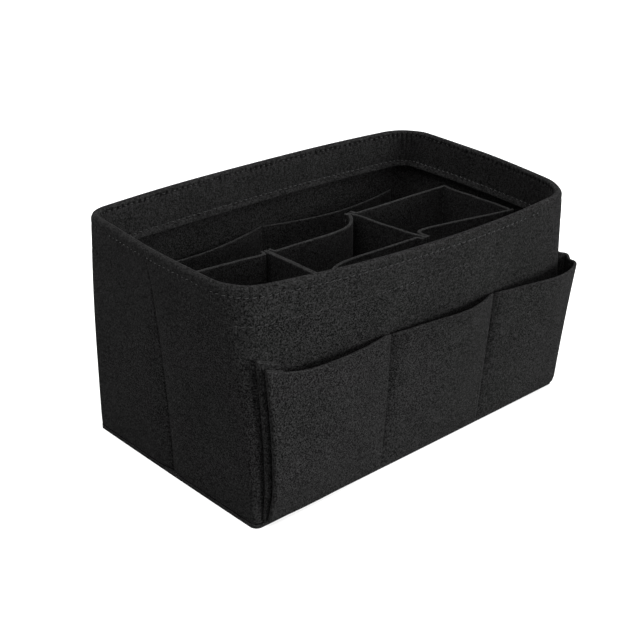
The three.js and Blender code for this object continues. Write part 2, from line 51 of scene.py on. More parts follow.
# A shader socket that takes part in Python expressions, and makes any other node for its tree
class Shade:
    def __init__(self, tree, socket=None):
        self.tree = tree
        self.socket = socket

    def node(self, kind, settings=None, sockets=None, output=0):
        made = self.tree.nodes.new(kind)
        for key, value in (settings or {}).items():
            setattr(made, key, value)
        for key, value in (sockets or {}).items():
            if isinstance(value, Shade):
                self.tree.links.new(value.socket, made.inputs[key])
            else:
                made.inputs[key].default_value = value
        return Shade(self.tree, made.outputs[output])

    def math(self, operation, *values):
        return self.node("ShaderNodeMath", {"operation": operation}, dict(enumerate(values)))

    def __add__(self, other):
        return self.math("ADD", self, other)

    def __radd__(self, other):
        return self.math("ADD", other, self)

    def __sub__(self, other):
        return self.math("SUBTRACT", self, other)

    def __rsub__(self, other):
        return self.math("SUBTRACT", other, self)

    def __mul__(self, other):
        return self.math("MULTIPLY", self, other)

    def __rmul__(self, other):
        return self.math("MULTIPLY", other, self)


# One level for red, green and blue, opaque
def grey(level):
    return (level, level, level, 1.0)


# A fresh material: its tree, ready for expressions, and its shader's inputs
def freshMaterial(name):
    material = bpy.data.materials.new(name)
    material.use_nodes = True
    tree = material.node_tree
    shader = next(n for n in tree.nodes if n.type == "BSDF_PRINCIPLED")
    return material, Shade(tree), shader.inputs


# Links some of a shader's inputs and sets others
def plug(inputs, links, constants):
    for key, value in links.items():
        value.tree.links.new(value.socket, inputs[key])
    for key, value in constants.items():
        inputs[key].default_value = value


# Felt: fibres lying every way, fine grain, matted clumps and worn patches, paler where a cut shows the
# core, and darker with painted shade at the rim facing's needle holes
def feltMaterial(name, look):
    material, shade, inputs = freshMaterial(name)
    place = shade.node("ShaderNodeTexCoord", output=3)

    def cloud(perMetre, detail, stretch=(1, 1, 1), twist=0.0):
        turned = {"Vector": place, "Rotation": look["grainTurn"], "Scale": stretch}
        spun = shade.node("ShaderNodeMapping", {}, turned)
        sockets = {"Vector": spun, "Scale": perMetre, "Detail": detail, "Distortion": twist}
        return shade.node("ShaderNodeTexNoise", {}, {**sockets, "Roughness": look["noiseRoughness"]})

    run = look["fibreStretch"]
    runs = [(1, run, 1), (run, 1, 1), (1, 1, run)]
    first, second, third = (cloud(look["fibrePerMetre"], 2, stretch, 1.0) for stretch in runs)
    fibres = shade.math("MAXIMUM", shade.math("MAXIMUM", first, second), third)
    grain = cloud(look["grainPerMetre"], 1)
    clumps = cloud(look["clumpPerMetre"], 3)
    patches = cloud(look["patchPerMetre"], 2)
    # One attribute: paler at cut edges, and below zero where painted shade darkens the needle holes
    cut = shade.node("ShaderNodeAttribute", {"attribute_name": "cutEdgeAndHoleShade"}, output=2)
    mean = look["noiseMean"]
    worn = (fibres - look["fibreMean"]) * look["fibreTone"] + (grain - mean) * look["grainTone"]
    matted = (clumps - mean) * look["clumpTone"] + (patches - mean) * look["patchTone"]
    level = worn + matted + cut * look["cutAndHoleShadeTone"] + look["tone"]
    ends = {0: level, 6: grey(look["dark"]), 7: grey(look["pale"])}
    colour = shade.node("ShaderNodeMix", {"data_type": "RGBA"}, ends, 2)
    height = fibres * look["fibreHeight"] + grain * look["grainHeight"] + clumps * look["clumpHeight"]
    relief = {"Strength": look["bump"], "Distance": look["relief"], "Height": height}
    bump = shade.node("ShaderNodeBump", {}, relief)
    rough = 1.0 - fibres * look["fibreGloss"]
    links = {"Base Color": colour, "Roughness": rough, "Normal": bump}
    sheen = {"Sheen Weight": look["sheen"], "Sheen Roughness": look["sheenRoughness"]}
    tint = {"Sheen Tint": grey(look["sheenTone"]), "Specular IOR Level": look["specular"]}
    plug(inputs, links, {**sheen, **tint})
    return material


tubFelt = {
    "fibrePerMetre": 1050.0, "fibreStretch": 0.45, "grainPerMetre": 1150.0, "clumpPerMetre": 300.0,
    "patchPerMetre": 30.0, "grainTurn": (0.6, 0.4, 0.9), "noiseRoughness": 0.6, "noiseMean": 0.5,
    "fibreMean": 0.6, "fibreTone": 1.9, "grainTone": 1.95, "clumpTone": 0.1, "patchTone": 0.2,
    "tone": 0.34, "cutAndHoleShadeTone": 0.12, "dark": 0.0008, "pale": 0.0155, "bump": 0.5, "relief": 0.6 * mm,
    "fibreHeight": 0.6, "grainHeight": 0.5, "clumpHeight": 0.1, "fibreGloss": 0.12, "specular": 0.01,
    "sheen": 0.006, "sheenRoughness": 0.5, "sheenTone": 0.8,
}
dividerFelt = {**tubFelt, "cutAndHoleShadeTone": 0.15}
feltTub = feltMaterial("felt_tub", tubFelt)
feltDivider = feltMaterial("felt_divider", dividerFelt)


# Thread: two plies twisted round each other, from each stitch's own length and turn
def threadMaterial(name, look):
    material, shade, inputs = freshMaterial(name)
    along = shade.node("ShaderNodeAttribute", {"attribute_name": "alongStitch"}, output=2)
    turn = shade.node("ShaderNodeAttribute", {"attribute_name": "roundStitch"}, output=2)
    place = shade.node("ShaderNodeTexCoord", output=3)
    ply = shade.math("SINE", (along * look["twists"] + turn) * (2 * math.pi)) * 0.5 + 0.5
    noise = {"Vector": place, "Scale": look["fuzzPerMetre"], "Detail": 2.0}
    level = ply * look["plyTone"] + shade.node("ShaderNodeTexNoise", {}, noise) * look["fuzzTone"]
    ends = {0: level, 6: grey(look["dark"]), 7: grey(look["pale"])}
    colour = shade.node("ShaderNodeMix", {"data_type": "RGBA"}, ends, 2)
    relief = {"Strength": look["bump"], "Distance": look["relief"], "Height": ply}
    bump = shade.node("ShaderNodeBump", {}, relief)
    rough = look["rough"] - ply * look["plyGloss"]
    links = {"Base Color": colour, "Roughness": rough, "Normal": bump}
    plug(inputs, links, {"Specular IOR Level": look["specular"]})
    return material


threadLook = {
    "twists": 3.0, "fuzzPerMetre": 2600.0, "plyTone": 0.6, "fuzzTone": 0.5, "dark": 0.0015, "pale": 0.012,
    "bump": 0.6, "relief": 0.2 * mm, "rough": 0.5, "plyGloss": 0.12, "specular": 0.12,
}
threadBlack = threadMaterial("thread_black", threadLook)
print("materials made")


# Puts grids of points into one mesh: rows run along a piece, each row is a closed ring round its section.
# Open ends are capped by joining points that face each other across the ring.
def gridMesh(name, points, material, attributes=None, closed=False, sharp=50.0):
    points = points if points.ndim == 4 else points[None]
    pieces, rows, ring = points.shape[:3]
    index = np.arange(pieces * rows * ring).reshape(pieces, rows, ring)
    here = index if closed else index[:, :-1]
    after = np.roll(index, -1, 1) if closed else index[:, 1:]
    faces = [np.stack([here, after, np.roll(after, -1, 2), np.roll(here, -1, 2)], -1).reshape(-1, 4)]
    if not closed:
        near = np.arange(ring // 2 - 1)
        far = ring - 1 - near
        for end, turn in ((index[:, 0], 1), (index[:, -1], -1)):
            cap = np.stack([end[:, near], end[:, near + 1], end[:, far - 1], end[:, far]], -1)
            faces.append(cap.reshape(-1, 4)[:, ::turn])
    quads = np.concatenate(faces)
    flat = points.reshape(-1, 3)
    a, b, c, d = (flat[quads[:, i]] for i in range(4))
    volume = np.sum(a * np.cross(b, c)) + np.sum(a * np.cross(c, d))
    quads = quads if volume > 0 else quads[:, ::-1]
    return putMesh(name, flat, quads, material, attributes, sharp)


# A smooth mesh of points and quads, with an edge wherever faces meet at more than the sharp angle
def putMesh(name, flat, quads, material, attributes=None, sharp=50.0):
    mesh = bpy.data.meshes.new(name)
    mesh.vertices.add(len(flat))
    mesh.vertices.foreach_set("co", flat.astype(np.float32).ravel())
    mesh.loops.add(quads.size)
    mesh.loops.foreach_set("vertex_index", quads.astype(np.int32).ravel())
    mesh.polygons.add(len(quads))
    mesh.polygons.foreach_set("loop_start", np.arange(0, quads.size, 4, dtype=np.int32))
    mesh.update(calc_edges=True)
    mesh.polygons.foreach_set("use_smooth", np.ones(len(quads), bool))
    mesh.set_sharp_from_angle(angle=math.radians(sharp))
    for key, values in (attributes or {}).items():
        layer = mesh.attributes.new(key, "FLOAT", "POINT")
        layer.data.foreach_set("value", values.astype(np.float32).ravel())
    mesh.materials.append(material)
    piece = bpy.data.objects.new(name, mesh)
    bpy.context.scene.collection.objects.link(piece)
    return piece


# a at share 0, b at share 1, on a straight line between them
def mix(a, b, share):
    return a + (b - a) * share


# Cubic ease from 0 at low to 1 at high
def ease(x, low, high):
    t = np.clip((x - low) / (high - low), 0, 1)
    return t * t * (3 - 2 * t)


# Soft unevenness: four sine waves of random slope and phase over two coordinates, about -1 to 1
def unevenness(a, b, seed, reach):
    waves = np.random.default_rng(seed).uniform(-1, 1, (4, 3))
    total = sum(np.sin(math.pi * (w[0] * a + w[1] * b) / reach + 9 * w[2]) for w in waves)
    return total / 3


# Unevenness of a panel at a share of its run, over waves about 5 cm long
def sway(share, z, seed, reach=0.05):
    return unevenness(share * 0.1, z, seed, reach)


# Tub: four bowed sides and four round corners, drawn as eight arcs at every height
tub = {
    "length": 280 * mm, "width": 168 * mm, "height": 153 * mm, "felt": 2.5 * mm, "bottom": 2.8 * mm,
    "baseRadius": 5 * mm, "baseBow": 0.4 * mm, "bowPower": 1.5, "cornerPower": 2.5,
    "rimBow": np.array([8, 3, 15, 6]) * mm,  # back, left, front, right
    "rimRadius": np.array([27, 16, 31, 38]) * mm,  # back right, back left, front left, front right
    "baseShift": np.array([[0, 0], [-0.6, -1.9], [2.5, 0], [0, 4.8]]) * mm,  # step of each base corner
    "rimLean": np.array([[6, -1], [4.6, 4.9], [-4.5, 9], [-10, -10.8]]) * mm,  # step of the rim over it
    "layGap": 0.3 * mm, "facing": 27 * mm, "stitchPitch": 4.5 * mm,
    "upperRow": 6 * mm, "upperRowInside": 3 * mm, "lowerRow": 23 * mm,  # down from the rim
    "leftSeam": np.array([-0.3, 10]) * mm, "rightSeam": np.array([0, 4]) * mm,  # y at base and rim
    "creaseDepth": 2 * mm, "creaseReach": 16 * mm, "seamRoll": 1.6 * mm, "seamDeep": 1.4,
    "waves": ((3, 30, 0.4), (5, -42, 1.7), (9, 25, 3.1), (14, 55, 5.0)),  # count, climb and phase
    "waveLow": 0.2 * mm, "waveHigh": 0.55 * mm, "waveGrows": (105 * mm, 140 * mm), "waveStart": 30 * mm,
    "hemTuck": 1.2 * mm, "hemReach": 12 * mm, "hemElsewhere": 0.3,
    "hemFront": (5.5, 1.9),  # loop place and reach
}
crest = tub["felt"] + tub["layGap"] / 2  # the rim's fold turns over here, half way through both layers
signs = np.array([[1, 1], [-1, 1], [-1, -1], [1, -1]])
baseCorners = signs * np.array([tub["length"], tub["width"]]) / 2 + tub["baseShift"]


# Angle of a point seen from a centre
def angleFrom(centre, point):
    return np.arctan2(point[..., 1] - centre[..., 1], point[..., 0] - centre[..., 0])


# Centre, radius, first angle and sweep of the eight arcs at height z, corner and side by turns from the
# back right. A side is an arc over its chord, R = (half squared + bow squared) / 2 bow, and a corner
# touches two sides.
def planArcs(z):
    rise = np.clip(np.asarray(z, float) / tub["height"], 0, 1)
    settle = (rise ** tub["cornerPower"])[..., None]
    corner = baseCorners + tub["rimLean"] * settle[..., None]
    onward = np.roll(corner, -1, -2)
    chord = onward - corner
    half = np.linalg.norm(chord, axis=-1) / 2
    bow = tub["baseBow"] + tub["rimBow"] * (rise ** tub["bowPower"])[..., None]
    sideRadius = (half ** 2 + bow ** 2) / (2 * bow)
    outward = np.stack([chord[..., 1], -chord[..., 0]], -1) / (2 * half[..., None])
    sideCentre = (corner + onward) / 2 + outward * (bow - sideRadius)[..., None]
    beforeCentre = np.roll(sideCentre, 1, -2)
    radius = mix(tub["baseRadius"], tub["rimRadius"], settle)
    reachBefore = np.roll(sideRadius, 1, -1) - radius
    reachAfter = sideRadius - radius
    between = sideCentre - beforeCentre
    apart = np.linalg.norm(between, axis=-1)
    along = (reachBefore ** 2 - reachAfter ** 2 + apart ** 2) / (2 * apart)
    across = np.sqrt(reachBefore ** 2 - along ** 2)[..., None]
    unit = between / apart[..., None]
    foot = beforeCentre + unit * along[..., None]
    aside = np.stack([-unit[..., 1], unit[..., 0]], -1) * across
    nearer = np.linalg.norm(foot + aside - corner, axis=-1) < np.linalg.norm(foot - aside - corner, axis=-1)
    roundCentre = np.where(nearer[..., None], foot + aside, foot - aside)
    roundStart = angleFrom(beforeCentre, roundCentre)
    sideStart = angleFrom(sideCentre, roundCentre)
    roundSweep = (sideStart - roundStart) % (2 * np.pi)
    sideSweep = (angleFrom(sideCentre, np.roll(roundCentre, -1, -2)) - sideStart) % (2 * np.pi)
    byTurns = lambda a, b: np.stack([a, b], -1).reshape(*a.shape[:-1], 8)
    return {
        "x": byTurns(roundCentre[..., 0], sideCentre[..., 0]),
        "y": byTurns(roundCentre[..., 1], sideCentre[..., 1]),
        "radius": byTurns(radius, sideRadius), "start": byTurns(roundStart, sideStart),
        "sweep": byTurns(roundSweep, sideSweep),
    }


# The value of the arc that is named at each place
def pick(values, arc):
    return np.take_along_axis(values, arc[..., None], -1)[..., 0]


# Point and outward normal of the plan at loop place u (0 to 8) and height z, set in from the outer face
def onTub(u, z, inset):
    u, z, inset = np.broadcast_arrays(u, z, inset)
    arcs = planArcs(z)
    arc = np.floor(u).astype(int) % 8
    angle = pick(arcs["start"], arc) + pick(arcs["sweep"], arc) * (u - np.floor(u))
    normal = np.stack([np.cos(angle), np.sin(angle)], -1)
    centre = np.stack([pick(arcs["x"], arc), pick(arcs["y"], arc)], -1)
    return centre + normal * (pick(arcs["radius"], arc) - inset)[..., None], normal


# Loop place of a side seam, which wanders from the middle of its end as it climbs
def seamPlace(z, end):
    arc, ys = (3, tub["leftSeam"]) if end == "left" else (7, tub["rightSeam"])
    arcs = planArcs(z)
    y = mix(ys[0], ys[1], np.clip(z / tub["height"], 0, 1) ** tub["bowPower"])
    lift = np.arcsin((y - arcs["y"][..., arc]) / arcs["radius"][..., arc])
    angle = np.pi - lift if end == "left" else lift
    return arc + ((angle - arcs["start"][..., arc]) % (2 * np.pi)) / arcs["sweep"][..., arc]


# Distance along the wall from the nearer side seam
def seamDistance(u, z):
    arcs = planArcs(z)
    length = arcs["sweep"] * arcs["radius"]
    reach = lambda end, arc: np.abs(np.mod(u, 8) - seamPlace(z, end)) * length[..., arc]
    return np.minimum(reach("left", 3), reach("right", 7))


# Felt is drawn in where it is sewn to the base, most at the front, so that the base's edge stands out
def tucked(u, z):
    middle, reach = tub["hemFront"]
    front = mix(tub["hemElsewhere"], 1, np.clip(reach - np.abs(np.mod(u, 8) - middle), 0, 1))
    return tub["hemTuck"] * front * np.clip(1 - z / tub["hemReach"], 0, 1) ** 2


# How far the felt stands out of its plan: slow waves that grow towards the rim, less the crease at a seam
def relaxed(u, z):
    turn = np.mod(u, 8) * np.pi / 4
    total = sum(np.sin(count * turn + climb * z + phase) for count, climb, phase in tub["waves"]) / 3
    grown = mix(tub["waveLow"], tub["waveHigh"], ease(z, *tub["waveGrows"]))
    height = grown * ease(z, 0, tub["waveStart"])
    fade = 1 - (np.clip(z / tub["height"], 0, 1)) ** 2
    crease = tub["creaseDepth"] * fade * np.clip(1 - seamDistance(u, z) / tub["creaseReach"], 0, 1) ** 2
    return height * total - crease - tucked(u, z)


# A stitched row: loop places against length, so that stitches lie evenly round the loop
def rowTable(z, count=4000):
    u = np.linspace(0, 8, count + 1)
    steps = np.linalg.norm(np.diff(onTub(u, z, 0)[0], axis=0), axis=-1)
    length = np.concatenate([[0], np.cumsum(steps)])
    return {"z": z, "u": u, "length": length, "count": round(length[-1] / tub["stitchPitch"])}


upperRow = rowTable(tub["height"] - tub["upperRow"])
upperRowInside = rowTable(tub["height"] - tub["upperRowInside"])
lowerRow = rowTable(tub["height"] - tub["lowerRow"])


# Count of stitches from the loop's start to place u, by the share of the row's length
def stitchTurn(row, u):
    return np.interp(np.mod(u, 8), row["u"], row["length"]) / row["length"][-1] * row["count"]


# Dent of a stitched row: a trough with a pit at each needle hole, and puckers that fan out from the pits
def rowDent(row, u, z, look):
    away = np.abs(z - row["z"])
    hole = np.cos(2 * np.pi * stitchTurn(row, u))
    pit = mix(look["trough"], look["pit"], np.clip(hole, 0, 1) ** 2)
    pit = pit * np.exp(-((away / look["width"]) ** 2))
    return pit + look["pucker"] * hole * np.exp(-((away / look["puckerReach"]) ** 2))


outerDents = {
    "trough": 0.2 * mm, "pit": 0.55 * mm, "width": 1.1 * mm, "pucker": 0.05 * mm, "puckerReach": 5 * mm,
}
innerDents = {
    "trough": 0.3 * mm, "pit": 0.9 * mm, "width": 1.2 * mm, "pucker": 0.12 * mm, "puckerReach": 6 * mm,
}


# Joins an outer chain of section points to its inner chain, each point facing its partner across the felt
def closeSection(outer, inner):
    z, off, cut = (np.concatenate([a, b[::-1]]) for a, b in zip(outer, inner))
    return {"z": z, "off": off, "cut": cut}


cutLook = {"soften": 0.55 * mm, "flatFrom": 1.6, "core": 0.4, "below": 0.6, "corner": 0.4}


# Section of a felt panel standing up: flat cut edges above and below, with softened corners
def panelSection(bottom, top, thick, steps):
    half, soften = thick / 2, cutLook["soften"]
    flatFrom = soften * cutLook["flatFrom"]
    turn = np.linspace(0, np.pi / 2, 4)
    corner = half - soften
    lowZ = np.concatenate([[bottom], bottom + soften - soften * np.cos(turn)])
    core = corner * cutLook["core"]
    lowOff = np.concatenate([[core], corner + soften * np.sin(turn)])
    grade = np.linspace(0, 1, steps + 2)[1:-1]
    faceZ = mix(bottom + soften, top - soften, grade)
    faceZ = np.concatenate([[bottom + flatFrom], faceZ, [top - flatFrom]])
    highZ = np.concatenate([top - soften + soften * np.sin(turn), [top]])
    highOff = np.concatenate([corner + soften * np.cos(turn), [core]])
    z = np.concatenate([lowZ, faceZ, highZ])
    off = np.concatenate([lowOff, half + 0 * faceZ, highOff])
    cut = np.concatenate([cutLook["below"] + 0 * lowZ, 0 * faceZ, [cutLook["corner"]], 1 + 0 * highZ[1:]])
    return closeSection((z, off, cut), (z, -off, cut))


# Points of a standing felt piece: its middle surface moved along the plan normal by the section's offset.
# The path gives plan points, heights and how far the felt is squeezed, at each share of the run and height.
def feltPoints(path, shares, section):
    s, z = np.meshgrid(shares, section["z"], indexing="ij")
    middle, height, squeeze = path(s, z)
    run = np.gradient(middle, axis=0)
    normal = np.stack([run[..., 1], -run[..., 0]], -1)
    normal = normal / np.linalg.norm(normal, axis=-1, keepdims=True)
    plan = middle + normal * (section["off"] * squeeze)[..., None]
    return np.concatenate([plan, height[..., None]], -1), np.broadcast_to(section["cut"], s.shape)


# Felt mesh, which keeps how far each point is a cut edge, and on the rim facing how much painted shade its
# needle holes get
def feltPiece(name, points, cut, material, closed=False):
    return gridMesh(name, points, material, {"cutEdgeAndHoleShade": cut}, closed)


# A finished piece: hung on the body that carries it, with the nodes that it stands for hidden
def dress(piece, slotName, body, *nodes):
    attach(piece, body)
    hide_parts(*nodes)
    return piece


# Bakes a piece's placement into its mesh and hides the nodes that it stands for
def dressBent(piece, slotName, bodies, start, end, *nodes):
    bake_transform(piece)
    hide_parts(*nodes)
    return piece


# Walls: the front half runs from the left seam round to the right one, the back half on from there.
# The outer face turns over the rim to the crest, and the edges roll in where the halves meet.
wall = {
    "columns": 420, "levels": 40, "rimLevels": 30, "rollSteps": 7, "endColumns": 9, "flat": (0.445, 0.15),
    "lowFrom": 2 * mm, "lowTo": 120 * mm, "rimFrom": 121.5 * mm, "rimTo": 1 * mm, "edge": 1 * mm,
    "crestSlit": 0.05 * mm, "cutRings": 3, "cutShown": 0.4, "endShares": (0.0002, 0.004),
    "edgeRise": np.array([0, 0.15, 0.5, 1]), "edgeThick": np.array([0.3, 0.7, 0.92, 1]),  # lower edge
    "front": {"ends": ("left", "right"), "corners": (4, 5, 6, 7), "lap": 0},  # loop places of its corners
    "back": {"ends": ("right", "left"), "corners": (8, 9, 10, 11), "lap": 8},
    "spans": np.array([0.0, 0.15, 0.21, 0.79, 0.85, 1.0]),  # shares of the run at the seams and corner ends
}


# Half of a rim's section: a softened lower edge, a straight face, and a quarter turn over to the crest
def rimChain(bottom, levels, faceOff, crestOff, edge):
    turn = np.linspace(0, np.pi / 2, wall["rollSteps"] + 1)[1:]
    top = tub["height"] - crest
    lowZ = bottom + edge * wall["edgeRise"]
    lowOff = faceOff * wall["edgeThick"]
    z = np.concatenate([lowZ, levels, [top], top + crest * np.sin(turn)])
    roll = crestOff + (faceOff - crestOff) * np.cos(turn)
    off = np.concatenate([lowOff, faceOff + 0 * levels, [faceOff], roll])
    return z, off


# Section of a wall: its outer face turns over the rim, its inner face goes straight up to the crest
def wallSection():
    half = tub["felt"] / 2
    low = np.linspace(tub["bottom"] + wall["lowFrom"], wall["lowTo"], wall["levels"])
    high = np.linspace(wall["rimFrom"], tub["height"] - crest - wall["rimTo"], wall["rimLevels"])
    levels = np.concatenate([low, high])
    z, outer = rimChain(tub["bottom"], levels, half, half - crest, wall["edge"])
    ring = np.arange(len(z))
    inner = np.where(ring < len(wall["edgeRise"]), -outer, -half)
    inner[-1] = half - crest - wall["crestSlit"]
    cut = np.where(ring < wall["cutRings"], wall["cutShown"], 0.0)
    return closeSection((z, outer, cut), (z, inner, cut))


# Points of a wall half: loop places ruled between its seams and corner ends, set in by the section's
# offset, the rows' dents and the quarter circle that rolls in at its seams
def wallPoints(half, shares, section):
    s, z = np.meshgrid(shares, section["z"], indexing="ij")
    off = np.broadcast_to(section["off"], s.shape)
    first, last = half["ends"]
    knots = [seamPlace(z, first), *half["corners"], seamPlace(z, last) + half["lap"]]
    spans = wall["spans"]
    span = np.clip(np.searchsorted(spans, s, side="right") - 1, 0, 4)
    share = (s - spans[span]) / (spans[span + 1] - spans[span])
    ladder = np.stack([np.broadcast_to(knot, s.shape) for knot in knots], -1)
    u = mix(pick(ladder, span), pick(ladder, span + 1), share)
    near = np.clip(tub["seamRoll"] - seamDistance(u, z), 0, tub["seamRoll"])
    roll = tub["seamRoll"] - np.sqrt(tub["seamRoll"] ** 2 - near ** 2)
    dents = sum(rowDent(row, u, z, outerDents) for row in (upperRow, lowerRow))
    fade = 1 - (z / tub["height"]) ** 3
    outside = np.where(off > 0, tub["seamDeep"] * roll * fade + dents, 0)
    plan = onTub(u, z, tub["felt"] / 2 - off - relaxed(u, z) + outside)[0]
    return np.concatenate([plan, z[..., None]], -1), np.broadcast_to(section["cut"], s.shape)


ends = np.geomspace(*wall["endShares"], wall["endColumns"])
wallShares = np.unique(np.concatenate([np.linspace(0, 1, wall["columns"]), ends, 1 - ends]))
for halfName in ("front", "back"):
    points, cut = wallPoints(wall[halfName], wallShares, wallSection())
    felt = feltPiece(f"wall_{halfName}_felt", points, cut, feltTub)
    dress(felt, "felt", "tub", f"wall_{halfName}")
print("walls standing")

# Rim facing: the band inside the mouth, from its cut edge up over the rim's fold to the crest.
# It is gathered at the back right corner and in the middle of the back, and the needle holes of its upper
# row carry painted shade: dots of darker felt colour where the holes' shade falls.
facing = {
    "columns": 1000, "levels": 30, "flat": (0.87, 0.027), "from": 1 * mm, "edge": 0.7 * mm,
    # How dark and how wide the painted shade at the upper row's needle holes is
    "lift": 2 * mm, "liftReach": 6 * mm, "holeShadeTone": 6.0, "holeShadeReach": 0.9 * mm,
    "gathers": ((0.5, 0.35, 1.0), (1.5, 0.15, 0.5)),  # loop place, reach and share
    "gather": 0.8 * mm, "gatherDrop": 5 * mm, "gatherReach": 7 * mm, "gatherDrift": (1.5, 0.7),
}


# How far the band's lower edge stands off the wall, easing to nothing over its reach
def hemLift(z):
    bottom = tub["height"] - tub["facing"]
    return facing["lift"] * ease(bottom + facing["liftReach"] - z, 0, facing["liftReach"])


# Points of the band: the plan set in behind the wall by the section's offset, the rows' dents, the
# gathers, which are bells round the loop, and the hem's lift; with the cut edges less the painted shade of
# the needle holes
def facingPoints():
    half = tub["felt"] / 2
    bottom = tub["height"] - tub["facing"]
    top = tub["height"] - crest - wall["rimTo"]
    levels = np.linspace(bottom + facing["from"], top, facing["levels"])
    z, inner = rimChain(bottom, levels, -half, crest - tub["layGap"] - half, facing["edge"])
    onEdge = np.arange(len(z)) < len(wall["edgeRise"])
    outer = np.where(onEdge, -inner, half)
    outer[-1] = inner[-1] + wall["crestSlit"]
    cut = np.where(onEdge, 1.0, 0.0)
    section = closeSection((z, outer, cut), (z, inner, cut))
    row = upperRowInside
    even = np.linspace(0, row["length"][-1], facing["columns"] + 1)[:-1]
    u, z = np.meshgrid(np.interp(even, row["length"], row["u"]), section["z"], indexing="ij")
    off = np.broadcast_to(section["off"], u.shape)
    turn = stitchTurn(row, u)
    around = np.mod(u + 4, 8) - 4
    bells = facing["gathers"]
    gather = sum(share * np.exp(-(((around - place) / reach) ** 2)) for place, reach, share in bells)
    drift, pace = facing["gatherDrift"]
    pinch = facing["gather"] * gather * np.cos(2 * np.pi * turn + drift * np.sin(turn * pace))
    pinch = pinch * np.exp(-(((z - row["z"] + facing["gatherDrop"]) / facing["gatherReach"]) ** 2))
    dents = rowDent(row, u, z, innerDents) + rowDent(lowerRow, u, z, innerDents) + pinch
    # Painted shade: darker felt colour in dots at the upper row's needle holes, on the inner face only
    near = np.exp(-(((z - row["z"]) / facing["holeShadeReach"]) ** 2))
    hole = np.clip(np.cos(2 * np.pi * turn), 0, 1) ** 2 * near
    inset = 2 * half + tub["layGap"] + half - off - relaxed(u, z) + np.where(off < 0, hemLift(z) - dents, 0)
    plan = onTub(u, z, inset)[0]
    return np.concatenate([plan, z[..., None]], -1), section["cut"] - facing["holeShadeTone"] * hole * (off < 0)


points, cut = facingPoints()
felt = feltPiece("rim_facing_felt", points, cut, feltTub, closed=True)
dress(felt, "felt", "tub", "rim_facing")
print("rim faced")

# Base panel: a patch spanned between the four sides of the outline, given the felt's thickness
base = {"columns": 60, "rows": 40, "flat": (0.281, 0.168), "soften": 0.6 * mm, "softenSteps": 3}


# Point of the patch: the mean of its two ruled surfaces less the bilinear one through its corners
def basePatch():
    a, b = np.meshgrid(np.linspace(0, 1, base["columns"]), np.linspace(0, 1, base["rows"]), indexing="ij")
    edge = lambda u: onTub(u, 0.0, 0.0)[0]
    front, back = edge(4.5 + 2 * a), edge(10.5 - 2 * a)
    left, right = edge(4.5 - 2 * b), edge(6.5 + 2 * b)
    a, b = a[..., None], b[..., None]
    corners = [edge(np.array(u)) for u in (4.5, 6.5, 8.5, 2.5)]
    low, high = mix(corners[0], corners[1], a), mix(corners[3], corners[2], a)
    return mix(front, back, b) + mix(left, right, a) - mix(low, high, b)


plan = basePatch()
flat = np.concatenate([plan, np.full((*plan.shape[:2], 1), tub["felt"])], -1).reshape(-1, 3)
index = np.arange(len(flat)).reshape(plan.shape[:2])
quads = np.stack([index[:-1, :-1], index[1:, :-1], index[1:, 1:], index[:-1, 1:]], -1).reshape(-1, 4)
cut = np.zeros(plan.shape[:2])
cut[[0, -1]] = 1
cut[:, [0, -1]] = 1
felt = putMesh("base_panel_felt", flat, quads, feltTub, {"cutEdgeAndHoleShade": cut})
thicken = felt.modifiers.new("thickness", "SOLIDIFY")
thicken.thickness = tub["felt"]
soften = felt.modifiers.new("soft_edge", "BEVEL")
soften.width = base["soften"]
soften.segments = base["softenSteps"]
soften.limit_method = "ANGLE"
dress(felt, "felt", "tub", "base_panel")
print("base laid")

# Stitches: a bead of thread comes out of the felt, lies along its row and goes back in
stitch = {
    "radius": 0.34 * mm, "rings": 7, "sides": 6, "shown": 0.34, "taper": 0.8, "slant": 0.25 * mm,
    "tight": 0.6 * mm, "uneven": 0.09 * mm, "slack": 0.15 * mm, "endSlack": -0.24 * mm,
    "front": (4, 4.5, 5.5, 6.1), "rightEnd": (6, 6.6, 7.5, 8), "slackest": 5.2,  # loop places
    "slackRange": (-0.6, 0.8), "sink": 0.5 * mm, "rise": 0.1 * mm,
}


# Beads along paths: rings of points round each path, thinner towards its ends
def stitchMesh(name, path, out, side):
    share = np.linspace(-1, 1, path.shape[1])[None, :, None, None]
    radius = stitch["radius"] * np.sqrt(1 - stitch["taper"] * share ** 2)
    turn = (np.arange(stitch["sides"]) + 0.5) / stitch["sides"]
    angle = (2 * np.pi * turn + np.pi)[None, None, :, None]
    ring = np.cos(angle) * out[:, :, None] + np.sin(angle) * side[:, :, None]
    points = path[:, :, None] + radius * ring
    along = np.broadcast_to(share[..., 0], points.shape[:3])
    around = np.broadcast_to(turn, points.shape[:3])
    return gridMesh(name, points, threadBlack, {"alongStitch": along, "roundStitch": around})


# Height of a bead over its felt: sunk at both ends, arched between them
def arch(share, sink, rise):
    return mix(-sink, rise, np.sqrt(np.clip(1 - share ** 2, 0, 1)))


# One between the middle two of four loop places, easing to nothing at the outer two
def band(u, places):
    return ease(u, *places[:2]) * (1 - ease(u, *places[2:]))


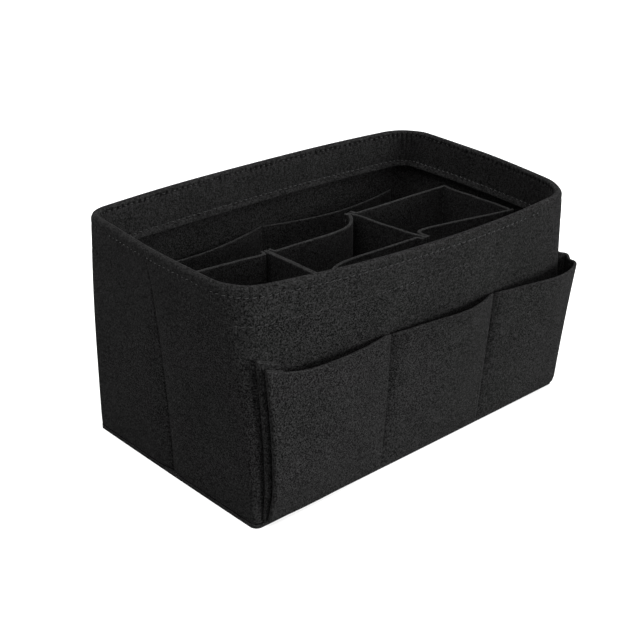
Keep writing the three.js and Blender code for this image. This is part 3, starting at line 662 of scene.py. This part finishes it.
# Stitches of a row, each sunk a little differently. An outer row is pulled tighter to the right and
# behind, an inner one at the right end.
def rowStitches(name, row, inset, facesIn, sink, rise):
    share = np.linspace(-1, 1, stitch["rings"])
    turn = np.arange(row["count"])[:, None] + 0.5 + stitch["shown"] * share
    u = np.interp(turn / row["count"] * row["length"][-1], row["length"], row["u"])
    loose = stitch["uneven"] * np.random.default_rng(row["count"]).uniform(-1, 1, (row["count"], 1))
    if facesIn:
        slack = stitch["endSlack"] * band(u, stitch["rightEnd"])
    else:
        slack = stitch["slack"] * np.clip(stitch["slackest"] - u, *stitch["slackRange"])
        slack = slack - stitch["tight"] * (1 - band(u, stitch["front"]))
    lift = arch(share, sink, rise + loose + slack)
    plan, normal = onTub(u, row["z"], inset + (lift if facesIn else -lift) - relaxed(u, row["z"]))
    height = np.broadcast_to(row["z"] + stitch["slant"] * share, u.shape)
    path = np.concatenate([plan, height[..., None]], -1)
    out = np.concatenate([normal * (-1 if facesIn else 1), 0 * u[..., None]], -1)
    piece = stitchMesh(f"{name}_stitches", path, out, np.broadcast_to([0.0, 0.0, 1.0], path.shape))
    return dress(piece, "thread", "tub", name)


innerFace = 2 * tub["felt"] + tub["layGap"]
rimRows = {  # row, depth of its felt's face, whether that faces in, sink and rise
    "upper_outer": (upperRow, 0.0, False, 0.75 * mm, 0.14 * mm),
    "lower_outer": (lowerRow, 0.0, False, 0.75 * mm, -0.3 * mm),
    "upper_inner": (upperRowInside, innerFace, True, 0.95 * mm, -0.35 * mm),
    "lower_inner": (lowerRow, innerFace + hemLift(lowerRow["z"]), True, 0.75 * mm, -0.1 * mm),
}
for place, settings in rimRows.items():
    rowStitches(f"rim_thread_{place}", *settings)


# Stitches climbing a seam: line gives plan point and outward direction at each height
def climbingStitches(name, body, line, bottom, top, sink=stitch["sink"], rise=stitch["rise"]):
    count = round((top - bottom) / tub["stitchPitch"])
    pitch = (top - bottom) / count
    share = np.linspace(-1, 1, stitch["rings"])
    z = bottom + (np.arange(count)[:, None] + 0.5 + stitch["shown"] * share) * pitch
    plan, out = line(z)
    plan = plan + out * arch(share, sink, rise)[None, :, None]
    path = np.concatenate([plan, z[..., None]], -1)
    out = np.concatenate([out, 0 * z[..., None]], -1)
    side = np.cross(out, [0.0, 0.0, 1.0])
    return dress(stitchMesh(f"{name}_stitches", path, out, side), "thread", body, name)


sideSeam = {"inset": 2.4 * mm, "low": 3 * mm, "drop": 9 * mm}


# Line of a side seam: the plan at its loop place, sunk between the rolled edges
def sideSeamLine(end):
    def line(z):
        u = seamPlace(z, end)
        return onTub(u, z, sideSeam["inset"] - relaxed(u, z))

    return line


for end in ("left", "right"):
    low, high = tub["bottom"] + sideSeam["low"], tub["height"] - sideSeam["drop"]
    climbingStitches(f"side_seam_thread_{end}", "tub", sideSeamLine(end), low, high)
print("tub stitched")

# Front pocket strip: three faces sewn down in two valleys, a pleat at the left and a gusset at the right
strip = {
    "felt": 2 * mm, "bottom": 3.2 * mm, "top": 101 * mm, "left": -131 * mm, "right": 137.2 * mm,
    "seamLeft": -36 * mm, "seamRight": 55 * mm, "seamBow": 2 * mm, "swellPower": 0.8, "swellSkew": 1.5,
    "foldWidth": 12 * mm, "foldSlack": 0.5 * mm, "pressed": 0.5, "pressedHeight": 30 * mm,
    "foldTop": 108 * mm, "foldReach": 36 * mm, "pleatTop": 112 * mm, "pleatInnerTop": 106 * mm,
    "pleatOpen": 2.4 * mm, "pleatOpenHeight": 40 * mm, "pleatStep": 1.4 * mm,
    "pleatLift": 1.3 * mm, "pleatLiftGrows": (5 * mm, 30 * mm),
    "hemRise": 1.6 * mm, "hemRiseReach": 50 * mm, "hemRiseHeight": 30 * mm,
    "cornerCut": 2.5 * mm, "cornerHeight": 6 * mm, "gussetOpen": 13.7 * mm, "gussetTop": 105 * mm,
    "gussetLean": 1.2 * mm, "gussetRoot": 6.45, "gussetSwell": 4 * mm, "gussetRound": 9 * mm,
    "gussetFlat": (18 * mm, 0.00088), "gussetBend": (4 * mm, -5 * mm),  # width, area; bend from the front
    "rootGap": 0.1 * mm, "rootShare": 0.4, "bendLeft": 40 * mm, "bendRight": 35 * mm,
    "valleyBefore": 3 * mm, "valleyAfter": 9 * mm, "valleySqueeze": 0.75, "dip": 0.016, "dipReach": 7 * mm,
    "stepReach": 11 * mm, "levels": 44, "columns": 121, "uneven": 0.35 * mm,
    "seamInset": 3 * mm, "seamOut": 0.6 * mm,
}
sewnDepth = tub["layGap"] + strip["felt"]
layerPitch = strip["felt"] + strip["foldSlack"]
pleatDepth = 3 * layerPitch + strip["felt"]
# A long side's own arc, the corner arcs at its left and right ends, and the sign of its angles
frontArcs = {"line": 5, "low": 4, "high": 6, "turn": -1}
backArcs = {"line": 1, "low": 2, "high": 0, "turn": 1}


# Point of a long side at x, set out from the outer face: on the side's arc, or past its ends on a corner's
def sidePoint(side, x, z, out):
    x, z, out = np.broadcast_arrays(x, z, out)
    arcs = planArcs(z)
    line = side["line"]
    start, sweep = arcs["start"][..., line], arcs["sweep"][..., line]
    endX = lambda angle: arcs["x"][..., line] + arcs["radius"][..., line] * np.cos(angle)
    first, last = endX(start), endX(start + sweep)
    arc = np.where(x > np.maximum(first, last), side["high"], line)
    arc = np.where(x < np.minimum(first, last), side["low"], arc)
    centreX, centreY, radius = (pick(arcs[key], arc) for key in ("x", "y", "radius"))
    angle = side["turn"] * np.arccos(np.clip((x - centreX) / radius, -1, 1))
    reach = radius + out - tucked(np.asarray(arc) + 0.5, z)
    return np.stack([centreX + reach * np.cos(angle), centreY + reach * np.sin(angle)], -1)


# Layers of the pleat are pressed together towards the bottom seam
def pressedAt(z):
    return mix(strip["pressed"], 1, ease(z, 0, strip["pressedHeight"]))


# Above the pressed part, the pleat's two folds stand apart
def partedAt(z):
    return strip["pleatOpen"] * ease(z, 0, strip["pleatOpenHeight"])


# Plan of a pocket's face: a line between its edges that swells to its mouth and stands off at the left.
# Just after a valley it steps out, as length times its falling exponential.
def pocketPlan(pocket, share, z, depth):
    start, end = pocket["start"](z), pocket["end"](z)
    along = end - start
    outward = np.stack([along[..., 1], -along[..., 0]], -1)
    outward = outward / np.linalg.norm(outward, axis=-1, keepdims=True)
    mouth = np.clip(z / pocket["top"], 0, 1.1) ** strip["swellPower"]
    swell = pocket["swell"] * mouth * np.sin(np.pi * share ** pocket["skew"])
    swell = swell + pocket["stand"](z) * (1 - share ** 2)
    t = share * pocket["width"] / strip["stepReach"]
    swell = swell + pocket["step"] * mouth * t * np.exp(1 - t) * (1 - share)
    rough = sway(share, z, pocket["seed"])
    swell = swell + strip["uneven"] * mouth * np.sin(np.pi * share) * rough
    return start + along * share[..., None] + outward * (swell - depth)[..., None]


# Squeeze of the felt where it is sewn down, and how much deeper its middle then lies
def valley(away, reach, most=strip["valleySqueeze"]):
    squeeze = most * np.clip(1 - away / reach, 0, 1) ** 3
    return 1 - squeeze, squeeze * strip["felt"] / 2


# Share by which the strip's height dips where it is sewn down
def dipped(away):
    return 1 - strip["dip"] * np.clip(1 - away / strip["dipReach"], 0, 1) ** 2


# A sewn valley bends a little to the right half way up
def valleyEdge(x, out):
    return lambda z: sidePoint(frontArcs, x + strip["seamBow"] * np.sin(np.pi * z / strip["top"]), z, out)


# The open edge leans out as it climbs, and its lowest corner is rounded off
def gussetEdge(z):
    rise = z / strip["top"]
    y = baseCorners[3, 1] - tub["baseBow"] - sewnDepth - strip["gussetOpen"] * rise
    low = np.clip(1 - (z - strip["bottom"]) / strip["cornerHeight"], 0, 1)
    return np.stack([strip["right"] - strip["gussetLean"] * rise - strip["cornerCut"] * low ** 2, y], -1)


# A face that lies flush at its edges; each pocket changes what differs
flush = {"stand": lambda z: 0 * z, "step": 0.0, "top": strip["top"], "skew": strip["swellSkew"]}
leftPocket = {
    **flush, "start": lambda z: sidePoint(frontArcs, strip["left"], z, sewnDepth),
    "end": valleyEdge(strip["seamLeft"], sewnDepth), "swell": 3 * mm, "seed": 11,
    "stand": lambda z: tub["layGap"] + pleatDepth * pressedAt(z) + partedAt(z) - sewnDepth,
    "width": strip["seamLeft"] - strip["left"],
}
middlePocket = {
    **flush, "start": valleyEdge(strip["seamLeft"], sewnDepth),
    "end": valleyEdge(strip["seamRight"], sewnDepth), "swell": 9 * mm, "step": 3.2 * mm, "seed": 12,
    "width": strip["seamRight"] - strip["seamLeft"],
}
rightPocket = {
    **flush, "start": valleyEdge(strip["seamRight"], sewnDepth), "end": gussetEdge,
    "swell": 9 * mm, "step": 3.6 * mm, "seed": 13, "width": strip["right"] - strip["seamRight"],
}


# The strip's lower edge is drawn up towards the pleat
def hemRise(along, z):
    near = np.clip(1 - along / strip["hemRiseReach"], 0, 1) ** 2
    low = np.clip(1 - (z - strip["bottom"]) / strip["hemRiseHeight"], 0, 1)
    return strip["hemRise"] * near * low


# Left face: from the hidden layer of the pleat, round the outer fold, across to the valley.
# Along and depth follow a straight, a half circle and a straight; the top edge climbs over the pleat.
leftRun = {"under": 0.1, "turn": 0.2, "columns": 150}


def leftPath(s, z):
    press = pressedAt(z)
    radius, thick = layerPitch / 2 * press, strip["felt"] * press
    centre = radius + thick / 2
    width, under, turn = leftPocket["width"], leftRun["under"], leftRun["turn"]
    bend = np.pi * np.clip((s - under) / (turn - under), 0, 1)
    hidden = mix(strip["foldWidth"], centre, s / under)
    shown = mix(centre, width, (s - turn) / (1 - turn))
    along = np.where(s < under, hidden, np.where(s > turn, shown, centre - radius * np.sin(bend)))
    squeeze, sunk = valley(width - along, strip["valleyBefore"])
    depth = thick / 2 + radius + radius * np.cos(bend) + np.where(s > turn, sunk, 0)
    share = along / width
    climb = (strip["foldTop"] / strip["top"] - 1) * np.clip(1 - along / strip["foldReach"], 0, 1) ** 2
    height = z * (1 + climb) * dipped(width - along) + hemRise(along, z)
    return pocketPlan(leftPocket, share, height, depth), height, squeeze * press


# Middle face: a pocket's plan, thinner and lower where it is sewn at both valleys
def middlePath(s, z):
    width = middlePocket["width"]
    away = np.minimum(s, 1 - s) * width
    squeeze, sunk = valley(away, np.where(s < 0.5, strip["valleyAfter"], strip["valleyBefore"]))
    return pocketPlan(middlePocket, s, z, strip["felt"] / 2 + sunk), z * dipped(away), squeeze


# Right face and gusset in one run: out along the face, round the open edge, and back to the wall's corner.
# The corner between the two straights is eased by an arc whose share of the run is fixed.
rightRun = {"face": 0.72, "bend": 0.8, "columns": 170}


def rightPath(s, z):
    width = rightPocket["width"]
    face, bend = rightRun["face"], rightRun["bend"]
    half = strip["felt"] / 2
    bendReach = strip["gussetRound"]
    faceEnd = 1 - bendReach / width
    share = np.clip(s / face, 0, 1) * faceEnd
    squeeze, sunk = valley(share * width, strip["valleyAfter"])
    onFace = pocketPlan(rightPocket, share, z, half + sunk)
    tip = pocketPlan(rightPocket, np.ones_like(s), z, np.full_like(s, half))
    turnIn = pocketPlan(rightPocket, np.full_like(s, faceEnd), z, np.full_like(s, half))
    rootHeight = z * strip["gussetTop"] / strip["top"]
    root = onTub(np.full_like(s, strip["gussetRoot"]), rootHeight, -strip["rootGap"])[0]
    along = root - tip
    length = np.linalg.norm(along, axis=-1, keepdims=True)
    across = np.stack([along[..., 1], -along[..., 0]], -1) / length
    turnOut = tip + along / length * np.minimum(bendReach, strip["rootShare"] * length)
    t = np.clip((s - face) / (bend - face), 0, 1)[..., None]
    onBend = (1 - t) ** 2 * turnIn + 2 * t * (1 - t) * tip + t ** 2 * turnOut
    g = np.clip((s - bend) / (1 - bend), 0, 1)[..., None]
    bulge = strip["gussetSwell"] * (z / strip["top"])[..., None] * np.sin(np.pi * g) ** 2
    onGusset = mix(turnOut, root, g) + across * bulge
    plan = np.where((s < face)[..., None], onFace, np.where((s < bend)[..., None], onBend, onGusset))
    return plan, mix(z, rootHeight, g[..., 0]) * dipped(share * width), squeeze


# Pleat: the strip's sewn end lies on the wall, turns back at the left, where it is highest, onto itself
pleatRun = {"under": 0.4, "turn": 0.6, "columns": 60}


def pleatPath(s, z):
    press = pressedAt(z)
    radius, thick = layerPitch / 2 * press, strip["felt"] * press
    centre = radius + thick / 2
    under, turn = pleatRun["under"], pleatRun["turn"]
    bend = np.pi * np.clip((s - under) / (turn - under), 0, 1)
    inward = mix(strip["foldWidth"], centre, s / under)
    outward = mix(centre, strip["foldWidth"], (s - turn) / (1 - turn))
    along = np.where(s < under, inward, np.where(s > turn, outward, centre - radius * np.sin(bend)))
    lift = strip["pleatLift"] * ease(strip["foldWidth"] - along, 0, strip["foldWidth"])
    lift = lift * ease(z, *strip["pleatLiftGrows"])
    out = tub["layGap"] + thick / 2 + radius - radius * np.cos(bend) + lift
    fall = mix(1, strip["pleatInnerTop"] / strip["pleatTop"], along / strip["foldWidth"])
    height = z * fall + hemRise(along, z)
    x = strip["left"] + along - strip["pleatStep"] * (1 - along / strip["foldWidth"])
    return sidePoint(frontArcs, x, height, out), height, press


stripSection = panelSection(strip["bottom"], strip["top"], strip["felt"], strip["levels"])
pleatSection = panelSection(strip["bottom"], strip["pleatTop"], strip["felt"], strip["levels"])
frontY = -tub["width"] / 2
stripHeight = strip["top"] - strip["bottom"]


# A pocket's face sewn at both edges, made as two halves that meet in the middle
def sewnFace(node, body, points, cut, edges, y):
    half = len(points) // 2
    middle = ((edges[0] + edges[1]) / 2, y, 0)
    halves = (("a", slice(0, half + 1), edges[0]), ("b", slice(half, None), edges[1]))
    for part, rows, edge in halves:
        felt = feltPiece(f"{node}_felt_{part}", points[rows], cut[rows], feltTub)
        dressBent(felt, "felt", ("tub", body), (edge, y, 0), middle, node)


points, cut = feltPoints(leftPath, np.linspace(0, 1, leftRun["columns"]), stripSection)
felt = feltPiece("front_pocket_left_felt", points, cut, feltTub)
seamPoint, openPoint = (strip["seamLeft"], frontY, 0), (strip["left"] + strip["bendLeft"], frontY, 0)
dressBent(felt, "felt", ("tub", "pocket_left"), seamPoint, openPoint, "front_pocket_left")
size = (leftPocket["width"] + strip["foldWidth"], stripHeight)

points, cut = feltPoints(pleatPath, np.linspace(0, 1, pleatRun["columns"]), pleatSection)
felt = feltPiece("front_pleat_felt", points, cut, feltTub)
dress(felt, "felt", "tub", "front_pleat")
size = (2 * strip["foldWidth"], strip["pleatTop"])

points, cut = feltPoints(middlePath, np.linspace(0, 1, strip["columns"]), stripSection)
seams = (strip["seamLeft"], strip["seamRight"])
size = (middlePocket["width"] / 2, stripHeight)
sewnFace("front_pocket_middle", "pocket_middle", points, cut, seams, frontY)

shares = np.linspace(0, 1, rightRun["columns"])
points, cut = feltPoints(rightPath, shares, stripSection)
split = int(np.searchsorted(shares, rightRun["bend"]))
felt = feltPiece("front_pocket_right_felt", points[: split + 1], cut[: split + 1], feltTub)
openPoint = (strip["right"] - strip["bendRight"], frontY, 0)
bodies = ("tub", "pocket_right")
dressBent(felt, "felt", bodies, (strip["seamRight"], frontY, 0), openPoint, "front_pocket_right")
felt = feltPiece("front_gusset_felt", points[split:], cut[split:], feltTub)
rootPoint, edgePoint = ((strip["right"], frontY + step, 0) for step in strip["gussetBend"])
dressBent(felt, "felt", bodies, rootPoint, edgePoint, "front_gusset")


# Line of a front seam: the edge of its valley, facing out of the wall
def frontSeamLine(x):
    def line(z):
        plan = valleyEdge(x, strip["seamOut"])(z)
        ahead = valleyEdge(x, strip["seamOut"] + mm)(z)
        return plan, (ahead - plan) / mm

    return line


for end, x in (("left", strip["seamLeft"]), ("right", strip["seamRight"])):
    low, high = strip["bottom"] + strip["seamInset"], strip["top"] - strip["seamInset"]
    climbingStitches(f"front_seam_thread_{end}", "tub", frontSeamLine(x), low, high)
print("front pockets sewn")

# Back pocket strip inside the tub: two faces sewn at the ends and in the middle, open at the top
backStrip = {
    "bottom": 2.8 * mm, "top": 107 * mm, "reach": 129 * mm, "seam": 4.5 * mm, "swell": 11 * mm,
    "seamSqueeze": 0.5, "endSqueeze": 0.85, "valleyReach": 7 * mm, "levels": 44, "columns": 141,
    "seamInset": 3 * mm, "seamOut": 1.2 * mm,
}


# Sewn edge of a back pocket, on the wall's inner face at x
def backEdge(x):
    return lambda z: sidePoint(backArcs, x, z, -tub["felt"] - sewnDepth)


# Back face: a pocket's plan, squeezed less at the middle seam than at its ends
def backPath(pocket):
    def path(s, z):
        sewn = np.where(pocket["seamFirst"], s, 1 - s) < 0.5
        away = np.minimum(s, 1 - s) * pocket["width"]
        most = np.where(sewn, backStrip["seamSqueeze"], backStrip["endSqueeze"])
        squeeze, sunk = valley(away, backStrip["valleyReach"], most)
        return pocketPlan(pocket, s, z, strip["felt"] / 2 + sunk), z, squeeze

    return path


backSection = panelSection(backStrip["bottom"], backStrip["top"], strip["felt"], backStrip["levels"])
backY = tub["width"] / 2
reach, seam = backStrip["reach"], backStrip["seam"]
for end, left, right, seed in (("left", -reach, seam, 21), ("right", seam, reach, 22)):
    pocket = {
        **flush, "top": backStrip["top"], "skew": 1, "start": backEdge(left), "end": backEdge(right),
        "swell": backStrip["swell"], "seed": seed, "seamFirst": end == "right", "width": right - left,
    }
    points, cut = feltPoints(backPath(pocket), np.linspace(0, 1, backStrip["columns"]), backSection)
    size = (pocket["width"] / 2, backStrip["top"] - backStrip["bottom"])
    node, body = f"back_pocket_{end}", f"inner_pocket_{end}"
    sewnFace(node, body, points, cut, (left, right), backY)


# Line of the back seam, facing the front
def backSeamLine(z):
    plan = sidePoint(backArcs, backStrip["seam"], z, -tub["felt"] - backStrip["seamOut"])
    return plan, np.broadcast_to([0.0, -1.0], plan.shape)


low, high = backStrip["bottom"] + backStrip["seamInset"], backStrip["top"] - backStrip["seamInset"]
climbingStitches("back_seam_thread", "tub", backSeamLine, low, high)
print("back pockets sewn")

# Divider: three cells of long panels sewn to two cross panels, whose seams stand out as fins
divider = {
    "bottom": 2.8 * mm, "top": 123.5 * mm, "felt": 2.5 * mm, "endGap": 5.5 * mm,
    "fin": 5 * mm, "finSeam": 0.7, "seamInset": 3 * mm, "nook": 0.2 * mm,
    "cellLean": 15 * mm, "cellTurn": 20 * mm, "hook": np.array([10, 7]) * mm,
    "step": 0.7 * mm, "ease": 1.6 * mm, "easeSteps": 6, "levels": 44, "endCut": 0.5,
    "uneven": 0.5 * mm, "freeReach": 12 * mm,
    "wavy": 0.25 * mm, "wavyReach": 0.02, "wavyGrows": (100 * mm, 125 * mm),
    "cornerSink": 0.9 * mm, "cornerRise": -0.7 * mm,
    "crossLeft": {"back": np.array([-46, 12]) * mm, "front": np.array([-46, -46]) * mm, "felt": 3.6 * mm},
    "crossRight": {"back": np.array([41, 28]) * mm, "front": np.array([48, -31]) * mm, "felt": 2.5 * mm},
    "endY": {"left": np.array([21, -40]) * mm, "right": np.array([28, -38]) * mm},  # back, front
}
dividerReach = tub["length"] / 2 - tub["felt"] - divider["endGap"]


# Curve through plan points: on each span a cubic whose end slopes are half the step between the neighbours
def splineThrough(points, steps=24):
    points = np.array(points)
    padded = np.concatenate([points[:1], points, points[-1:]])
    t = np.linspace(0, 1, steps + 1)[:, None]
    spans = []
    for before, start, end, after in zip(padded, padded[1:], padded[2:], padded[3:]):
        out, into = (end - before) / 2, (after - start) / 2
        cubic = (2 * start - 2 * end + out + into) * t ** 3
        square = (3 * start - 3 * end + 2 * out + into) * t ** 2
        spans.append(cubic - square + out * t + start)
    return np.concatenate([spans[0], *(span[1:] for span in spans[1:])])


# Path at even steps through plan points, its corners eased by a bell-weighted running mean
def easedPath(points):
    points = np.array(points)
    length = np.concatenate([[0], np.cumsum(np.linalg.norm(np.diff(points, axis=0), axis=-1))])
    even = np.linspace(0, length[-1], int(length[-1] / divider["step"]))
    path = np.stack([np.interp(even, length, points[:, i]) for i in range(2)], -1)
    reach = divider["easeSteps"]
    weights = np.exp(-0.5 * ((np.arange(-reach, reach + 1) * divider["step"]) / divider["ease"]) ** 2)
    head = 2 * path[0] - path[reach:0:-1]
    tail = 2 * path[-1] - path[-2:-reach - 2:-1]
    padded = np.concatenate([head, path, tail])
    return np.stack([np.convolve(padded[:, i], weights / weights.sum(), "valid") for i in range(2)], -1)


# Panel on a path: the path swayed by the felt's unevenness, more towards its top, which is a little wavy
def dividerPanel(node, points, thick, seed):
    path = easedPath(points)
    run = np.gradient(path, axis=0)
    across = np.stack([run[:, 1], -run[:, 0]], -1) / np.linalg.norm(run, axis=-1, keepdims=True)
    shares = np.linspace(0, 1, len(path))
    count = np.arange(len(path))
    free = np.clip(np.minimum(count, count[::-1]) * divider["step"] / divider["freeReach"], 0, 1)
    free = (free * (2 - free))[:, None]

    def place(s, z):
        aside = divider["uneven"] * sway(s, z, seed) * free * z / divider["top"]
        middle = path[:, None] + across[:, None] * aside[..., None]
        wavy = divider["wavy"] * sway(s, 0 * z, seed + 50, divider["wavyReach"])
        return middle, z + wavy * ease(z, *divider["wavyGrows"]), 1.0

    section = panelSection(divider["bottom"], divider["top"], thick, divider["levels"])
    points, cut = feltPoints(place, shares, section)
    cut = cut.copy()
    cut[[0, -1]] = divider["endCut"]
    felt = feltPiece(f"{node}_felt", points, cut, feltDivider)
    dress(felt, "divider_felt", "divider", node)


# Feet, fin tips and thread places of the long panels that are sewn to a cross panel, by end and side
def crossJoints(cross):
    axis = (cross["back"] - cross["front"]) / np.linalg.norm(cross["back"] - cross["front"])
    sideways = np.array([axis[1], -axis[0]])
    step = cross["felt"] / 2 + tub["layGap"] + divider["felt"] / 2
    strand = divider["felt"] / 2 + tub["layGap"]
    joints = {}
    for end, outward in (("back", axis), ("front", -axis)):
        for side in (-1, 1):
            foot = cross[end] + sideways * side * step
            tip = foot + outward * divider["fin"]
            sewn = mix(foot, tip, divider["finSeam"]) + sideways * side * strand
            joints[end, side] = {"foot": foot, "tip": tip, "sewn": sewn, "out": sideways * side}
    tips = [cross["front"] - axis * divider["fin"], cross["back"] + axis * divider["fin"]]
    return joints, tips


leftJoints, leftTips = crossJoints(divider["crossLeft"])
rightJoints, rightTips = crossJoints(divider["crossRight"])
dividerPanel("divider_cross_left", leftTips, divider["crossLeft"]["felt"], 31)
dividerPanel("divider_cross_right", rightTips, divider["crossRight"]["felt"], 32)

# The middle cell leans: each long panel runs straight, then turns towards its outer seam
lean = np.array([divider["cellTurn"], divider["cellLean"]])
start, end = leftJoints["back", 1], rightJoints["back", -1]
sweep = splineThrough([start["foot"], end["foot"] - lean, end["foot"]])
dividerPanel("divider_back_middle", [start["tip"], *sweep, end["tip"]], divider["felt"], 33)
start, end = leftJoints["front", 1], rightJoints["front", -1]
sweep = splineThrough([start["foot"], start["foot"] + lean, end["foot"]])
dividerPanel("divider_front_middle", [start["tip"], *sweep, end["tip"]], divider["felt"], 34)


# Plan height of a long panel's inner face at x, from its first two points
def innerFaceY(path, x, side):
    (endX, endY), (nextX, nextY) = path[0], path[1]
    slope = (nextY - endY) / (nextX - endX)
    return endY + slope * (x - endX) + side * divider["felt"] / 2 * math.hypot(1, slope)


# Upright line over a plan point, facing one way
def uprightLine(point, out):
    out = np.array(out) / np.linalg.norm(out)
    return lambda z: (np.broadcast_to(point, (*z.shape, 2)), np.broadcast_to(out, (*z.shape, 2)))


# The outer cells: a straight back panel, a front panel that hooks in before it sweeps out, and an end panel
dividerRise = (divider["bottom"] + divider["seamInset"], divider["top"] - divider["seamInset"])
cornerDepth = (divider["cornerSink"], divider["cornerRise"])
for name, joints, side, seed in (("left", leftJoints, -1, 41), ("right", rightJoints, 1, 45)):
    backEndY, frontEndY = divider["endY"][name]
    outerX = side * dividerReach
    innerX = side * (dividerReach - divider["felt"])
    back, front = joints["back", side], joints["front", side]
    hook = front["foot"] + divider["hook"] * np.array([side, 1])
    backRun = [np.array([outerX, backEndY]), back["foot"], back["tip"]]
    sweep = splineThrough([np.array([outerX, frontEndY]), hook, front["foot"]])
    dividerPanel(f"divider_back_{name}", backRun, divider["felt"], seed)
    dividerPanel(f"divider_front_{name}", [*sweep, front["tip"]], divider["felt"], seed + 1)
    topY = min(innerFaceY(backRun, x, -1) for x in (outerX, innerX)) - tub["layGap"]
    lowY = max(innerFaceY(sweep, x, 1) for x in (outerX, innerX)) + tub["layGap"]
    middleX = (outerX + innerX) / 2
    dividerPanel(f"divider_end_{name}", [(middleX, lowY), (middleX, topY)], divider["felt"], seed + 2)
    nook = tub["layGap"] + divider["nook"]
    nookX = innerX - side * nook
    corners = {"back": (backRun, -1), "front": (sweep, 1)}
    for place, (run, inside) in corners.items():
        point = np.array([nookX, innerFaceY(run, nookX, inside) + inside * nook])
        line = uprightLine(point, (-side, inside))
        thread = f"divider_corner_thread_{place}_{name}"
        climbingStitches(thread, "divider", line, *dividerRise, *cornerDepth)
for name, joints in (("left", leftJoints), ("right", rightJoints)):
    for place, side in (("back", -1), ("front", 1)):
        joint = joints[place, side]
        line = uprightLine(joint["sewn"], joint["out"])
        climbingStitches(f"divider_seam_thread_{place}_{name}", "divider", line, *dividerRise)
print("divider sewn")

# Floor, soft light and the camera at the photograph's angle
studio = {
    "floor": 4.0, "floorTone": 0.3, "floorRough": 0.9, "floorSpecular": 0.1, "floorGlow": 0.62,
    "world": 1.15, "aim": (0, 0, 0.07),
    "key": 145.0, "keySize": 1.0, "keyPlace": (0.55, -2.3, 0.55),
    "top": 95.0, "topSize": 2.4, "topPlace": (0.0, 0.0, 1.5),
    "eye": (-0.5277, -0.5910, 0.4431), "right": (0.7546, -0.6561, 0.0), "up": (0.2825, 0.3249, 0.9025),
    "focal": 1294.2, "pixels": 640.0, "sensor": 36.0,
}


# White ground that glows a little
def makeFloor():
    corner = studio["floor"] / 2 * np.array([[-1, -1, 0], [1, -1, 0], [1, 1, 0], [-1, 1, 0]])
    material, _, inputs = freshMaterial("floor_white")
    glow = {"Emission Color": grey(1.0), "Emission Strength": studio["floorGlow"]}
    gloss = {"Roughness": studio["floorRough"], "Specular IOR Level": studio["floorSpecular"]}
    plug(inputs, {}, {"Base Color": grey(studio["floorTone"]), **gloss, **glow})
    floor = putMesh("floor", corner, np.array([[0, 1, 2, 3]]), material)


# Round area light, aimed at the tub
def makeLight(name, power, size, place):
    light = bpy.data.lights.new(name, "AREA")
    light.energy = power
    light.shape = "DISK"
    light.size = size
    lamp = bpy.data.objects.new(name, light)
    lamp.location = place
    aim = Vector(studio["aim"]) - Vector(place)
    lamp.rotation_euler = aim.to_track_quat("-Z", "Y").to_euler()
    bpy.context.scene.collection.objects.link(lamp)


# Camera from its axes; its lens is the focal length in pixels times the sensor over the picture's width
def makeCamera():
    right, up = Vector(studio["right"]).normalized(), Vector(studio["up"]).normalized()
    back = right.cross(up).normalized()
    up = back.cross(right)
    camera = bpy.data.cameras.new("camera")
    camera.sensor_width = studio["sensor"]
    camera.sensor_fit = "HORIZONTAL"
    camera.lens = studio["focal"] * studio["sensor"] / studio["pixels"]
    eye = bpy.data.objects.new("camera", camera)
    eye.matrix_world = Matrix.Translation(studio["eye"]) @ Matrix((right, up, back)).transposed().to_4x4()
    bpy.context.scene.collection.objects.link(eye)
    bpy.context.scene.camera = eye


makeFloor()
makeLight("key", studio["key"], studio["keySize"], studio["keyPlace"])
makeLight("top", studio["top"], studio["topSize"], studio["topPlace"])
makeCamera()
world = bpy.data.worlds.new("studio")
world.use_nodes = True
sky = next(n for n in world.node_tree.nodes if n.type == "BACKGROUND").inputs
sky["Color"].default_value = grey(1.0)
sky["Strength"].default_value = studio["world"]
bpy.context.scene.world = world
bpy.context.scene.view_settings.view_transform = "Standard"
print("stage lit")
